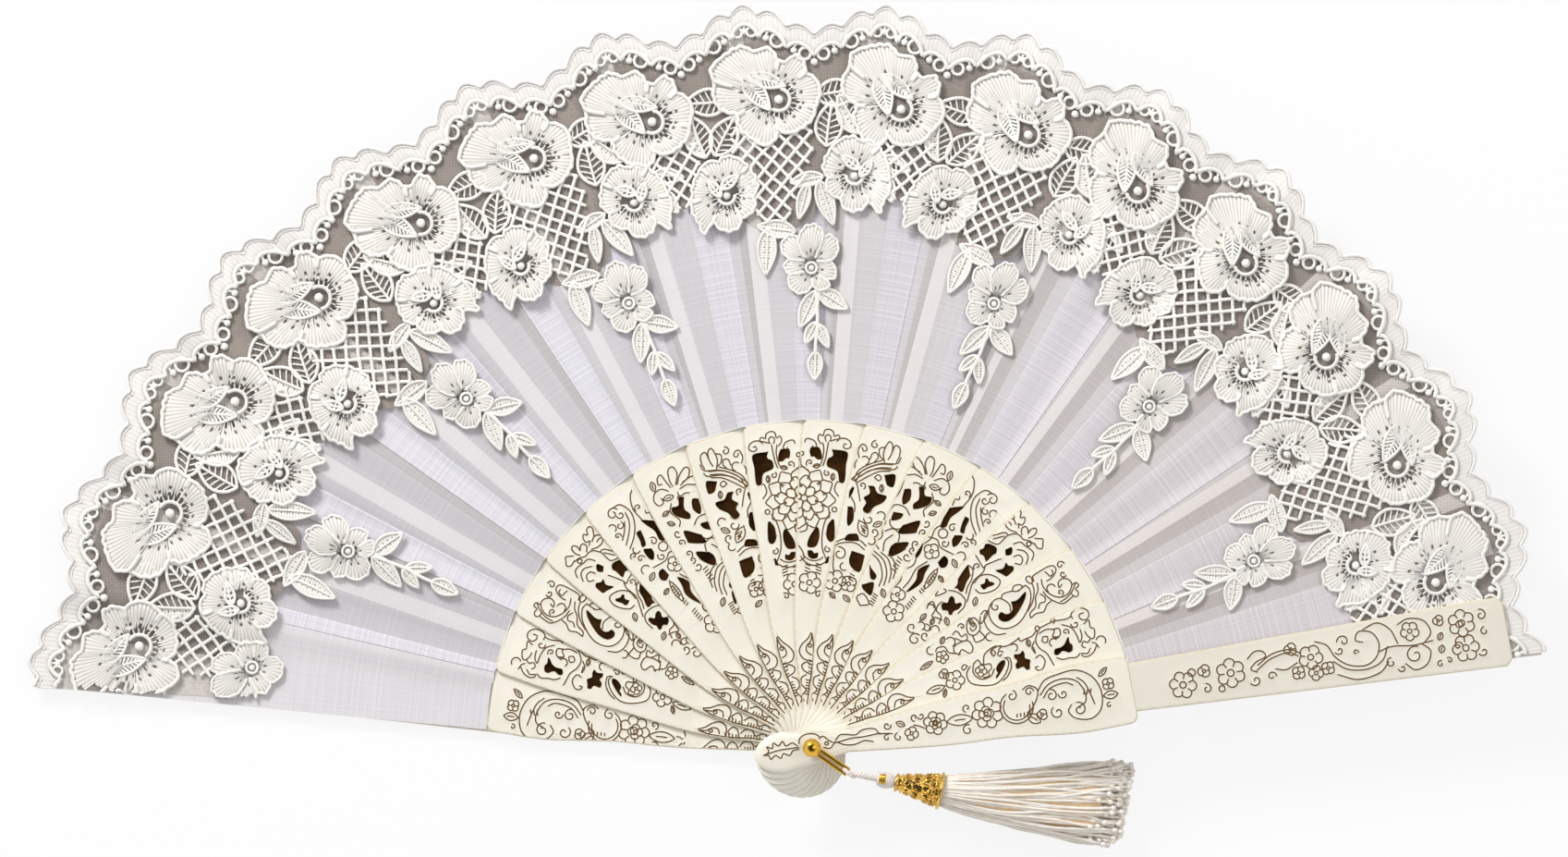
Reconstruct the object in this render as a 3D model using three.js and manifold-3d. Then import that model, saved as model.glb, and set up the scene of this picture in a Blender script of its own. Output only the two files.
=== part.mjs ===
// Lace folding fan: two guards, fourteen carved sticks, a pleated organza leaf with a lace border,
// a rivet through all the heads, and a tassel on a wire bail.
// Millimetres. The rivet's axis is Z, the fan lies face up and its rear rivet head stands on z = 0.
import * as THREE from 'three';
import { mergeVertices } from 'three/addons/utils/BufferGeometryUtils.js';
import Module from 'manifold-3d';

const wasm = await Module();
wasm.setup();

// Fan layout
const innerSticks = 14;          // carved sticks between the guards
const foldStep = 10.75;          // degrees from one stick to the next on the open fan
const rearGuardAngle = 171.5;    // direction of the rear guard, degrees from +X
const clearance = 0.3;           // between pieces that touch or slide on each other

// Rivet
const pinRadius = 1.1;
const rearHeadRadius = 2.6;
const rearHeadThickness = 0.9;
const neckRadius = 0.7;          // thinner end of the pin, where the bail turns
const ballRadius = 2.8;

// Sticks and guards, each along its own X from the rivet
const bladeThickness = 1;
const guardThickness = 2.4;
const bladeLength = 98.5;        // rivet to the end of the carved blade
const cornerRadius = 2.5;
const slipOverlap = 4;           // the upper part starts this far inside the blade's end
const headHalfWidth = 6.2;
const headLobeLength = 9;        // round end of a head, from its widest place
const shortestHead = 9.5;        // reach of the rearmost head past the rivet
const headGrowth = 8;            // what the foremost head reaches further
const neckAt = 11;
const neckHalfWidth = 3.4;
const blade = { shoulderAt: 34, shoulder: 8, middleAt: 60, middle: 9.4, endAt: 80, end: 10.4 };
const guardBlade = { shoulderAt: 40, shoulder: 6.7, middleAt: 60, middle: 7.8, endAt: 80, end: 10.2 };

// Slips that carry the leaf, and the plain upper part of each guard
const slipThickness = 0.45;
const slipHalfWidth = 2.3;
const slipTipHalfWidth = 2.8;
const guardLength = 213;
const guardTipCut = 2;           // corners cut off the tips
const guardTopThickness = 1;
const guardTopInset = 0.3;       // how far the upper part lies below the guard's outer face
const guardTopHalfWidth = 7.2;
const guardTipHalfWidth = 10.6;
const guardTopOffset = 0.8;      // upper part's middle, off the guard's centre line at the blade's end
const guardTipOffset = 2.7;      // and at the tip, on the other side
const rearTopOffset = 3;
const rearTipOffset = 4;
const pocketFloor = 0.3;         // left under the carved pockets

// Leaf
const clothThickness = 0.25;
const leafGap = 1;               // between the blades and the leaf
const leafInner = bladeLength + leafGap;
const leafPastGuard = 1;
const leafOuter = guardLength + leafPastGuard;
const slipShort = 9;             // the slips end this far inside the leaf's edge
const slipLength = leafOuter - slipShort;
const pleatHeight = 1.4;         // at the leaf's outer edge
const lastPleatHeight = 0.2;     // in the last gore, which the front guard holds down
const foldOut = 0.36;            // places of the two folds across a gore
const foldIn = 0.7;
const pleatFlat = 0.13;          // share of a gore that lies flat on each slip
const leftStretch = 0.06;        // the leaf reaches further towards the rear guard
const leftEdge = { start: 4.2, slope: 0.1 };     // edge of the leaf beside the rear guard's middle
const rightEdge = { start: 5, slope: 0.055 };    // and beside the front guard's middle

// Lace border
const laceThickness = 0.5;
const lacePastLeaf = 2;
const laceValley = leafOuter + lacePastLeaf;
const laceBandWidth = 45;
const laceInner = laceValley - laceBandWidth;
const laceBump = 7.5;
const scallopDepth = 2.4;
const scallopsPerLobe = 5;
const lacePitch = 22.4;          // degrees from one drop spray to the next
const firstDrop = 157.1;
const dropSprays = 7;
const lobeOffset = 1.3;          // a rim lobe's middle, left of its large flower
const bigFlower = { radius: 15.3, back: 16, left: 4.2 };     // back: measured in from the rim's valleys
const leftFlower = { radius: 10.6, back: 46.5, turn: 8.9 };
const rightFlower = { radius: 10.6, back: 42, turn: -4.2 };
const netGap = { wide: 3.4, high: 4.4, rows: 5, columns: 4, turn: 1.6, back: 53 };
const netPitch = { turn: 1.9, back: 4.9 };
const netMargin = 2.6;           // solid lace left round a flower
const slipMargin = 1.3;          // degrees of solid lace left beside each stick
const trellisBand = { left: 9, right: -3, inner: 57, outer: 41 };

// One drop spray from its two blossoms down to its bud
const sprayForms = [
  { back: 60, long: 12, wide: 12 },
  { back: 68, long: 15.2, wide: 15.2 },
  { back: 82, long: 12, wide: 4.8, turn: 1.4, tilt: -35 },
  { back: 81, long: 12, wide: 4.4, turn: -1.5, tilt: 40 },
  { back: 85, long: 26, wide: 1.6 },
  { back: 91, long: 8, wide: 3, turn: 1, tilt: -30 },
  { back: 91, long: 8, wide: 3, turn: -1, tilt: 30 },
  { back: 100, long: 8.8, wide: 5.2 },
];

// Bail and tassel
const bailTurn = -34.4;
const bailLength = 13.9;
const bailWire = 0.7;
const bailThickness = 0.9;
const bailRise = 2;
const cordRadius = 0.45;
const neckCordRadius = 0.95;
const cordSink = 0.1;            // how far the neck starts inside the loop
const tasselTurn = -11.5;
const knotRadius = 2.6;
const knotLength = 5.6;
const capLength = 14;
const capMouthRadius = 5.4;
const capWall = 0.7;
const skirtLength = 58;
const skirtTurn = 7;             // the skirt bends this much back from the cap's direction
const skirtHalfWidth = 13.2;
const skirtHalfHeight = 5.6;
const skirtSag = 3;
const skirtSlope = 0.16;
const strandRadius = 0.62;
const strandCount = 56;
const strandUneven = 5.5;        // the shortest strands end this much earlier

const { degToRad, lerp, smoothstep } = THREE.MathUtils;
const lastBody = innerSticks + 1;
const stickPitch = bladeThickness + clearance;
const rearGuardZ = rearHeadThickness + clearance;
const firstStickZ = rearGuardZ + guardThickness + clearance;
const frontGuardZ = firstStickZ + innerSticks * stickPitch;
const frontFaceZ = frontGuardZ + guardThickness;
const bailZ = frontFaceZ + clearance;
const ballZ = bailZ + bailThickness + 2 * clearance;

const ivory = new THREE.MeshStandardMaterial({ color: 0xf1ead8, roughness: 0.42 });
const organza = new THREE.MeshStandardMaterial({ color: 0xd9d8e0, roughness: 0.8, side: THREE.DoubleSide });
const lace = new THREE.MeshStandardMaterial({ color: 0xf1ede4, roughness: 0.9 });
const silk = new THREE.MeshStandardMaterial({ color: 0xf3e6d8, roughness: 0.7 });
const gold = new THREE.MeshStandardMaterial({ color: 0xd9a21c, roughness: 0.25, metalness: 1 });

const fan = new THREE.Group();

// Small tools

function polar(angle, radius) {
  return new THREE.Vector2(radius * Math.cos(degToRad(angle)), radius * Math.sin(degToRad(angle)));
}

function prism(points, bottom, top) {
  const options = { depth: top - bottom, bevelEnabled: false };
  return new THREE.ExtrudeGeometry(new THREE.Shape(points), options).translate(0, 0, bottom);
}

function toSolid(geometry) {
  const bare = geometry.clone();
  bare.deleteAttribute('normal');
  bare.deleteAttribute('uv');
  const merged = mergeVertices(bare, 1e-4);
  const vertProperties = new Float32Array(merged.attributes.position.array);
  const triVerts = new Uint32Array(merged.index.array);
  return new wasm.Manifold(new wasm.Mesh({ numProp: 3, vertProperties, triVerts }));
}

function toGeometry(solid) {
  const { vertProperties, triVerts } = solid.getMesh();
  const geometry = new THREE.BufferGeometry();
  geometry.setAttribute('position', new THREE.BufferAttribute(new Float32Array(vertProperties), 3));
  geometry.setIndex(new THREE.BufferAttribute(new Uint32Array(triVerts), 1));
  return geometry;
}

function join(geometries) {
  return geometries.map(toSolid).reduce((all, next) => all.add(next));
}

function addMesh(name, geometry, material, parent = fan) {
  geometry.computeVertexNormals();
  const mesh = new THREE.Mesh(geometry, material);
  mesh.name = name;
  parent.add(mesh);
  return mesh;
}

function ellipse(x, y, halfLength, halfWidth, turn, steps = 12) {
  const points = [];
  for (let i = 0; i < steps; i++) {
    const t = (i / steps) * 2 * Math.PI;
    const point = new THREE.Vector2(halfLength * Math.cos(t), halfWidth * Math.sin(t));
    points.push(point.rotateAround(new THREE.Vector2(), degToRad(turn)).add(new THREE.Vector2(x, y)));
  }
  return points;
}

// Where things are on the fan

const stickAngle = (k) => rearGuardAngle - foldStep * k;

const headReach = (k) => shortestHead + headGrowth * Math.sin((k / lastBody) * Math.PI / 2);

const stickZ = (k) => firstStickZ + (k - 1) * stickPitch;

function stretch(angle) {
  const widest = rearGuardAngle;
  return 1 + leftStretch * smoothstep(angle, widest - 66, widest);
}

function clothZ(k) {
  if (k === 0) return rearGuardZ + guardTopInset + guardTopThickness + clearance;
  if (k === lastBody) return clothZ(innerSticks);
  return stickZ(k) + slipThickness + clearance;
}

// Outline of a stick's head, neck and blade, along X from the rivet
function stickOutline(reach, widths) {
  const lobeAt = headLobeLength - reach;
  const edge = [[neckAt, neckHalfWidth], [widths.shoulderAt, widths.shoulder],
    [widths.middleAt, widths.middle], [widths.endAt, widths.end], [bladeLength - cornerRadius, widths.end]];
  const upper = edge.map(([x, y]) => new THREE.Vector2(x, y));
  const lower = edge.map(([x, y]) => new THREE.Vector2(x, -y)).reverse();
  const corner = (side) => [30, 60, 90].map((a) => new THREE.Vector2(
    bladeLength - cornerRadius + cornerRadius * Math.sin(degToRad(a)),
    side * (widths.end - cornerRadius + cornerRadius * Math.cos(degToRad(a)))));
  const head = [];
  for (let a = 270; a >= 90; a -= 18) {
    head.push(new THREE.Vector2(lobeAt + headLobeLength * Math.cos(degToRad(a)),
      headHalfWidth * Math.sin(degToRad(a))));
  }
  return [...head, ...upper, ...corner(1), ...corner(-1).reverse(), ...lower];
}

function pivotBore(height) {
  const bore = new THREE.CylinderGeometry(pinRadius + clearance, pinRadius + clearance, height * 4, 16);
  return toSolid(bore.rotateX(Math.PI / 2));
}

// A carved pocket: an oval with a wavy rim, measured back from the blade's end
function pocket({ back, y, long, wide, turn = 0, lobes = 3, wave = 0.2 }) {
  const points = [];
  const steps = 10;
  for (let i = 0; i < steps; i++) {
    const t = (i / steps) * 2 * Math.PI;
    const swell = 1 + wave * Math.cos(lobes * t);
    const point = new THREE.Vector2(long / 2 * Math.cos(t) * swell, wide / 2 * Math.sin(t) * swell);
    point.rotateAround(new THREE.Vector2(), degToRad(turn));
    points.push(point.add(new THREE.Vector2(bladeLength - back, y)));
  }
  return points;
}

// Pockets of the right half's sticks, from the middle of the fan outwards. The left half mirrors them.
const patternMiddle = 2.2;       // middle of what the next stick leaves open, off the centre line
const carvings = [
  [{ back: 40.7, y: 4.7, long: 2.4, wide: 3.4, lobes: 2 },
    { back: 35.9, y: 4.4, long: 6.6, wide: 3.6 },
    { back: 33.1, y: 0.3, long: 8, wide: 1.9, lobes: 2, wave: 0.1 },
    { back: 10.2, y: 6, long: 5, wide: 2.9, turn: 50 },
    { back: 12.9, y: -0.4, long: 9.4, wide: 5, turn: 12, lobes: 5 }],
  [{ back: 41, y: 2.3, long: 6, wide: 4.3, turn: 20, lobes: 5 },
    { back: 34.5, y: 5, long: 2.8, wide: 3.8 },
    { back: 28.5, y: 7.2, long: 6.2, wide: 1.7, turn: 5, lobes: 2, wave: 0.1 },
    { back: 22.2, y: 1.9, long: 8, wide: 5.4, lobes: 4 },
    { back: 15, y: -1.2, long: 4, wide: 2.8, lobes: 4, wave: 0.1 }],
  [{ back: 42.9, y: 6.2, long: 4.4, wide: 2.2, turn: 30 },
    { back: 32.9, y: 3, long: 6.8, wide: 3.6, turn: -32, lobes: 2, wave: 0.1 },
    { back: 26.5, y: 2.7, long: 7, wide: 2.7, turn: -38, lobes: 2, wave: 0.1 },
    { back: 24.1, y: 7.4, long: 3, wide: 2.8, lobes: 4 },
    { back: 18.2, y: 7.5, long: 5.2, wide: 2.3, lobes: 5 },
    { back: 17.5, y: 2.6, long: 8, wide: 3.8, lobes: 5, wave: 0.25 }],
  [{ back: 38.5, y: 4.2, long: 11, wide: 1.7, lobes: 5 },
    { back: 30.9, y: 1.6, long: 4.6, wide: 3.4, turn: 30, lobes: 4 },
    { back: 22.5, y: 2.2, long: 4.6, wide: 2.8, turn: 20, lobes: 4 },
    { back: 17.2, y: 2.7, long: 4.8, wide: 2.2, turn: 15, lobes: 3 },
    { back: 17.5, y: 7.6, long: 10, wide: 2.2, turn: -12, lobes: 3 }],
  [{ back: 39, y: 3, long: 6, wide: 4, lobes: 4, wave: 0.25 },
    { back: 30.5, y: 6.4, long: 8.6, wide: 2.9, turn: 28 },
    { back: 19.7, y: 7.6, long: 5.2, wide: 3.8, lobes: 4 },
    { back: 26.7, y: 0.9, long: 4.4, wide: 2.8, turn: -20, lobes: 4 },
    { back: 18.9, y: 0.4, long: 5, wide: 4, lobes: 3, wave: 0.25 }],
  [{ back: 27.9, y: 2.6, long: 4.4, wide: 3.6, turn: 110, lobes: 2, wave: 0.1 },
    { back: 23.1, y: 3.3, long: 9, wide: 3, turn: 26 }],
  [{ back: 37.1, y: 1.6, long: 6.2, wide: 2.3, turn: 48, lobes: 2, wave: 0.1 },
    { back: 30.3, y: 1.6, long: 4.2, wide: 5.8, lobes: 4, wave: 0.15 },
    { back: 17.2, y: 1.2, long: 6.4, wide: 3.6, turn: 18, lobes: 5 }],
];

function pocketsOf(k) {
  const half = innerSticks / 2;
  if (k > half) return carvings[Math.min(k - half, carvings.length) - 1];
  const list = carvings[Math.min(half - k, carvings.length - 1)];
  return list.map((one) => ({ ...one, y: 2 * patternMiddle - one.y, turn: -(one.turn ?? 0) }));
}

const topRoot = bladeLength - cornerRadius - slipOverlap;

function slip() {
  const outline = [[topRoot, slipHalfWidth], [topRoot, -slipHalfWidth],
    [slipLength, -slipTipHalfWidth], [slipLength, slipTipHalfWidth]];
  return prism(outline.map(([x, y]) => new THREE.Vector2(x, y)), 0, slipThickness);
}

function addStick(k) {
  const body = prism(stickOutline(headReach(k), blade), 0, bladeThickness);
  const cuts = pocketsOf(k).map((one) => toSolid(prism(pocket(one), pocketFloor, bladeThickness * 2)));
  let solid = join([body, slip()]).subtract(pivotBore(bladeThickness));
  for (const cut of cuts) solid = solid.subtract(cut);
  const name = `stick_${String(k).padStart(2, '0')}`;
  const mesh = addMesh(name, toGeometry(solid), ivory);
  mesh.position.z = stickZ(k);
  mesh.rotation.z = degToRad(stickAngle(k));
}

// The blade is full thickness. The upper part is thin and leaves room for the leaf on its inner face.
function addGuard(name, k, baseZ, innerSide, topOffset, tipOffset) {
  const body = prism(stickOutline(headReach(k), guardBlade), 0, guardThickness);
  const topZ = innerSide > 0 ? guardTopInset : guardThickness - guardTopInset - guardTopThickness;
  const [tipLow, tipHigh] = [tipOffset - guardTipHalfWidth, tipOffset + guardTipHalfWidth];
  const outline = [[topRoot, topOffset + guardTopHalfWidth], [topRoot, topOffset - guardTopHalfWidth],
    [guardLength - guardTipCut, tipLow], [guardLength, tipLow + guardTipCut],
    [guardLength, tipHigh - guardTipCut], [guardLength - guardTipCut, tipHigh]];
  const top = prism(outline.map(([x, y]) => new THREE.Vector2(x, y)), topZ, topZ + guardTopThickness);
  const solid = join([body, top]).subtract(pivotBore(guardThickness));
  const mesh = addMesh(name, toGeometry(solid), ivory);
  mesh.position.z = baseZ;
  mesh.rotation.z = degToRad(stickAngle(k));
}

// The leaf: one gore between two neighbouring sticks, with a fold out and a fold in

function pleatAt(share) {
  const stops = [[-1, 0], [pleatFlat, 0], [foldOut, 1], [foldIn, -1], [1 - pleatFlat, 0], [2, 0]];
  for (let i = 1; i < stops.length; i++) {
    if (share <= stops[i][0]) {
      const [from, to] = [stops[i - 1], stops[i]];
      return lerp(from[1], to[1], (share - from[0]) / (to[0] - from[0]));
    }
  }
  return 0;
}

const pleatOf = (gore) => (gore === lastBody ? lastPleatHeight : pleatHeight);

function edgeAngle(gore, radius, side) {
  const trim = THREE.MathUtils.radToDeg(clearance / 2 / radius);
  if (side > 0 && gore === 1) {
    const offset = leftEdge.start + leftEdge.slope * (radius - leafInner);
    return rearGuardAngle + THREE.MathUtils.radToDeg(offset / radius);
  }
  if (side < 0 && gore === lastBody) {
    const offset = rightEdge.start + rightEdge.slope * (radius - leafInner);
    return stickAngle(lastBody) - THREE.MathUtils.radToDeg(offset / radius);
  }
  return side > 0 ? stickAngle(gore - 1) - trim : stickAngle(gore) + trim;
}

function addLeafGore(gore) {
  const columns = [0, pleatFlat, foldOut, foldIn, 1 - pleatFlat, 1];
  const rows = [leafInner, leafOuter];
  const rise = clothZ(gore) - clothZ(gore - 1);
  const corners = [];
  for (const side of [0, clothThickness]) {
    for (const radius of rows) {
      for (const column of columns) {
        const edge = edgeAngle(gore, radius, column === 0 ? 1 : -1);
        const angle = column % 1 === 0 ? edge : stickAngle(gore - 1) - column * foldStep;
        const share = THREE.MathUtils.clamp((stickAngle(gore - 1) - angle) / foldStep, 0, 1);
        const place = polar(angle, radius === leafInner ? radius : radius * stretch(angle));
        const pleat = pleatOf(gore) * pleatAt(share) * radius / leafOuter;
        corners.push(place.x, place.y, clothZ(gore - 1) + rise * share + pleat + side);
      }
    }
  }
  const across = columns.length;
  const id = (side, row, column) => (side * rows.length + row) * across + column;
  const index = [];
  const quad = (a, b, c, d) => index.push(a, c, b, a, d, c);
  for (let c = 0; c + 1 < across; c++) {
    quad(id(1, 0, c), id(1, 1, c), id(1, 1, c + 1), id(1, 0, c + 1));
    quad(id(0, 0, c), id(0, 0, c + 1), id(0, 1, c + 1), id(0, 1, c));
    quad(id(0, 0, c), id(1, 0, c), id(1, 0, c + 1), id(0, 0, c + 1));
    quad(id(0, 1, c), id(0, 1, c + 1), id(1, 1, c + 1), id(1, 1, c));
  }
  const end = across - 1;
  quad(id(0, 0, 0), id(0, 1, 0), id(1, 1, 0), id(1, 0, 0));
  quad(id(0, 0, end), id(1, 0, end), id(1, 1, end), id(0, 1, end));
  const geometry = new THREE.BufferGeometry();
  geometry.setAttribute('position', new THREE.Float32BufferAttribute(corners, 3));
  geometry.setIndex(index);
  addMesh(`leaf_${String(gore).padStart(2, '0')}`, geometry, organza);
}

// The lace: a scalloped band with flowers, drop sprays and a net, cut at the sticks

function laceRim(angle) {
  const lobe = lacePitch / 2;
  const lobeMiddle = firstDrop + bigFlower.left + lobeOffset;
  const turn = (((angle - lobeMiddle) / lobe) % 1 + 1.5) % 1 - 0.5;
  const bump = Math.cos(turn * Math.PI) ** 2;
  const small = Math.abs(Math.cos(turn * Math.PI * scallopsPerLobe));
  return laceValley + laceBump * bump + scallopDepth * small;
}

const dropAngles = Array.from({ length: dropSprays }, (_, i) => firstDrop - lacePitch * i);

const lacePoint = (angle, back) => polar(angle, (laceValley - back) * stretch(angle));

function flower(drop, { turn, back, radius }) {
  const centre = lacePoint(drop + turn, back);
  return ellipse(centre.x, centre.y, radius, radius, drop + turn);
}

function sprayForm(drop, { back, long, wide, turn = 0, tilt = 0 }) {
  const centre = lacePoint(drop + turn, back);
  return ellipse(centre.x, centre.y, long / 2, wide / 2, drop + turn + tilt, 10);
}

function laceBand(gore) {
  const points = [];
  const steps = 20;
  for (let i = 0; i <= steps; i++) {
    const angle = lerp(edgeAngle(gore, laceValley, 1), edgeAngle(gore, laceValley, -1), i / steps);
    points.push(polar(angle, laceRim(angle) * stretch(angle)));
  }
  for (let i = 2; i >= 0; i--) {
    const angle = lerp(edgeAngle(gore, laceInner, 1), edgeAngle(gore, laceInner, -1), i / 2);
    points.push(polar(angle, laceInner * stretch(angle)));
  }
  return points;
}

// Wedge of one gore, wide enough to hold its lace
function goreWedge(gore) {
  const radii = [leafInner, laceValley + laceBump + 2 * scallopDepth];
  const outer = radii[1] * (1 + leftStretch);
  const left = [polar(edgeAngle(gore, radii[0], 1), radii[0]), polar(edgeAngle(gore, outer, 1), outer)];
  const right = [polar(edgeAngle(gore, radii[0], -1), radii[0]), polar(edgeAngle(gore, outer, -1), outer)];
  return [left[0], left[1], right[1], right[0]];
}

function netGaps(gore) {
  const gaps = [];
  for (const drop of dropAngles) {
    for (let row = 0; row < netGap.rows; row++) {
      for (let column = 0; column < netGap.columns; column++) {
        const angle = drop + netGap.turn + (column + (row % 2) / 2) * netPitch.turn;
        const inside = angle < stickAngle(gore - 1) - slipMargin && angle > stickAngle(gore) + slipMargin;
        const centre = lacePoint(angle, netGap.back - row * netPitch.back);
        const toSmall = centre.distanceTo(lacePoint(drop + leftFlower.turn, leftFlower.back));
        const toBig = centre.distanceTo(lacePoint(drop + bigFlower.left, bigFlower.back));
        const open = toSmall > leftFlower.radius + netMargin && toBig > bigFlower.radius + netMargin;
        if (inside && open) gaps.push(ellipse(centre.x, centre.y, netGap.high / 2, netGap.wide / 2, angle, 4));
      }
    }
  }
  return gaps;
}

function trellis(drop) {
  const { left, right, inner, outer } = trellisBand;
  return [lacePoint(drop + right, inner), lacePoint(drop + left, inner),
    lacePoint(drop + left, outer), lacePoint(drop + right, outer)];
}

function addLaceGore(gore) {
  const inGore = (angle) => angle < stickAngle(gore - 1) && angle > stickAngle(gore);
  const nearGore = (angle) => angle < stickAngle(gore - 1) + foldStep && angle > stickAngle(gore) - foldStep;
  const outlines = [laceBand(gore)];
  for (const drop of dropAngles) {
    if (inGore(drop)) outlines.push(...sprayForms.map((form) => sprayForm(drop, form)));
    if (nearGore(drop + trellisBand.left / 2)) outlines.push(trellis(drop));
    for (const one of [leftFlower, rightFlower]) {
      if (nearGore(drop + one.turn)) outlines.push(flower(drop, one));
    }
  }
  const slab = (outline) => prism(outline, 0, laceThickness);
  const wedge = toSolid(prism(goreWedge(gore), -1, laceThickness + 1));
  let solid = join(outlines.map(slab)).intersect(wedge);
  for (const gap of netGaps(gore)) solid = solid.subtract(toSolid(prism(gap, -1, laceThickness + 1)));
  const geometry = toGeometry(solid);
  const middle = (stickAngle(gore - 1) + stickAngle(gore)) / 2;
  const side = new THREE.Vector2(-Math.sin(degToRad(middle)), Math.cos(degToRad(middle)));
  const halfGore = laceValley * (1 - leftStretch) * Math.sin(degToRad(foldStep / 2));
  const rise = clothZ(gore) - clothZ(gore - 1);
  const baseZ = clothZ(gore - 1) + clothThickness + pleatOf(gore) + clearance;
  const { position } = geometry.attributes;
  for (let i = 0; i < position.count; i++) {
    const across = side.x * position.getX(i) + side.y * position.getY(i);
    position.setZ(i, position.getZ(i) + baseZ + rise * (0.5 - across / halfGore / 2));
  }
  addMesh(`lace_${String(gore).padStart(2, '0')}`, geometry, lace);
}

// Rivet

function addRivet() {
  const profile = [[0, 0], [rearHeadRadius, 0], [rearHeadRadius, rearHeadThickness],
    [pinRadius, rearHeadThickness], [pinRadius, frontFaceZ], [neckRadius, frontFaceZ],
    [neckRadius, ballZ - clearance], [0, ballZ - clearance]];
  const outline = profile.map(([x, y]) => new THREE.Vector2(x, y));
  addMesh('rivet_pin', new THREE.LatheGeometry(outline, 20).rotateX(Math.PI / 2), gold);
  const ball = new THREE.SphereGeometry(ballRadius, 20, 12);
  addMesh('rivet_ball', ball, gold).position.z = ballZ + ballRadius;
}

// Bail: a long wire link whose inner end turns on the rivet's neck. It rises towards its outer end.

function stadium(length, halfWidth) {
  const points = [];
  for (let a = -90; a <= 90; a += 30) {
    points.push(new THREE.Vector2(length - halfWidth + halfWidth * Math.cos(degToRad(a)),
      halfWidth * Math.sin(degToRad(a))));
  }
  for (let a = 90; a <= 270; a += 30) {
    points.push(new THREE.Vector2(halfWidth * Math.cos(degToRad(a)), halfWidth * Math.sin(degToRad(a))));
  }
  return points;
}

const bailInner = neckRadius + clearance;

function addBail() {
  const outer = prism(stadium(bailLength, bailInner + bailWire), 0, bailThickness);
  const slot = prism(stadium(bailLength - bailWire, bailInner), -1, bailThickness + 1);
  const geometry = toGeometry(toSolid(outer).subtract(toSolid(slot)));
  const { position } = geometry.attributes;
  for (let i = 0; i < position.count; i++) {
    const share = Math.max(0, position.getX(i)) / bailLength;
    position.setZ(i, position.getZ(i) + bailRise * share);
  }
  const mesh = addMesh('bail', geometry, gold);
  mesh.position.z = bailZ + clearance / 2;
  mesh.rotation.z = degToRad(bailTurn);
}

// Tassel, along its own X from the bail's outer end

const bailEnd = polar(bailTurn, bailLength - bailWire / 2);
const bailEndZ = bailZ + clearance / 2 + bailThickness / 2 + bailRise;
const tassel = new THREE.Group();
tassel.position.set(bailEnd.x, bailEnd.y, bailEndZ);
tassel.rotation.z = degToRad(tasselTurn);
fan.add(tassel);

const loopInner = Math.hypot(bailWire, bailThickness) / 2 + clearance;
const neckStart = loopInner + cordRadius;
const knotStart = 8.6;
const knotNeck = 1.9;
const stemRadius = 1.2;
const stemShort = 4;             // the knot's stem ends this far inside the cap
const backDisc = 1.5;            // thickness of the disc that binds the strands
const capStart = knotStart + knotLength + clearance;
const dropAtKnot = 2.4;          // the tassel slopes down from the bail to the table
const capSlope = 0.3;
const capMouth = capStart + capLength;

const slopeZ = (x) => -dropAtKnot - Math.max(0, x - knotStart) * capSlope;

function tiltedLathe(profile, start, steps) {
  const outline = profile.map(([x, y]) => new THREE.Vector2(y, x));
  const geometry = new THREE.LatheGeometry(outline, steps).rotateZ(-Math.PI / 2);
  const { position } = geometry.attributes;
  for (let i = 0; i < position.count; i++) {
    position.setX(i, position.getX(i) + start);
    position.setZ(i, position.getZ(i) + slopeZ(position.getX(i)));
  }
  return geometry;
}

function addCord() {
  const turn = degToRad(bailTurn - tasselTurn);
  const ring = new THREE.TorusGeometry(loopInner + cordRadius, cordRadius, 6, 16).rotateX(Math.PI / 2);
  const route = [[neckStart - cordSink, cordSink], [neckStart + neckCordRadius * 2, 0],
    [knotStart - neckCordRadius * 2.5, -dropAtKnot / 3], [knotStart - 2 * clearance, cordSink - dropAtKnot]];
  const path = new THREE.CatmullRomCurve3(route.map(([x, z]) => new THREE.Vector3(x, 0, z)));
  const section = new THREE.Shape(ellipse(0, 0, neckCordRadius, neckCordRadius, 0, 8));
  const cord = new THREE.ExtrudeGeometry(section, { steps: 8, bevelEnabled: false, extrudePath: path });
  addMesh('tassel_cord', toGeometry(join([ring.rotateZ(turn), cord])), silk, tassel);
}

function addKnot() {
  const stem = capMouth - knotStart - stemShort;
  const profile = [[0, 0], [0, neckCordRadius + cordSink], [knotLength * 0.2, knotNeck],
    [knotLength * 0.43, knotRadius], [knotLength * 0.7, knotRadius], [knotLength, knotNeck],
    [knotLength, stemRadius], [stem, stemRadius], [stem, 0]];
  addMesh('tassel_knot', tiltedLathe(profile, knotStart, 14), silk, tassel);
}

function addCap() {
  const profile = [[0, knotRadius], [capLength, capMouthRadius], [capLength, capMouthRadius - capWall],
    [0, knotRadius - capWall], [0, knotRadius]];
  addMesh('tassel_cap', tiltedLathe(profile, capStart, 24), gold, tassel);
}

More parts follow.
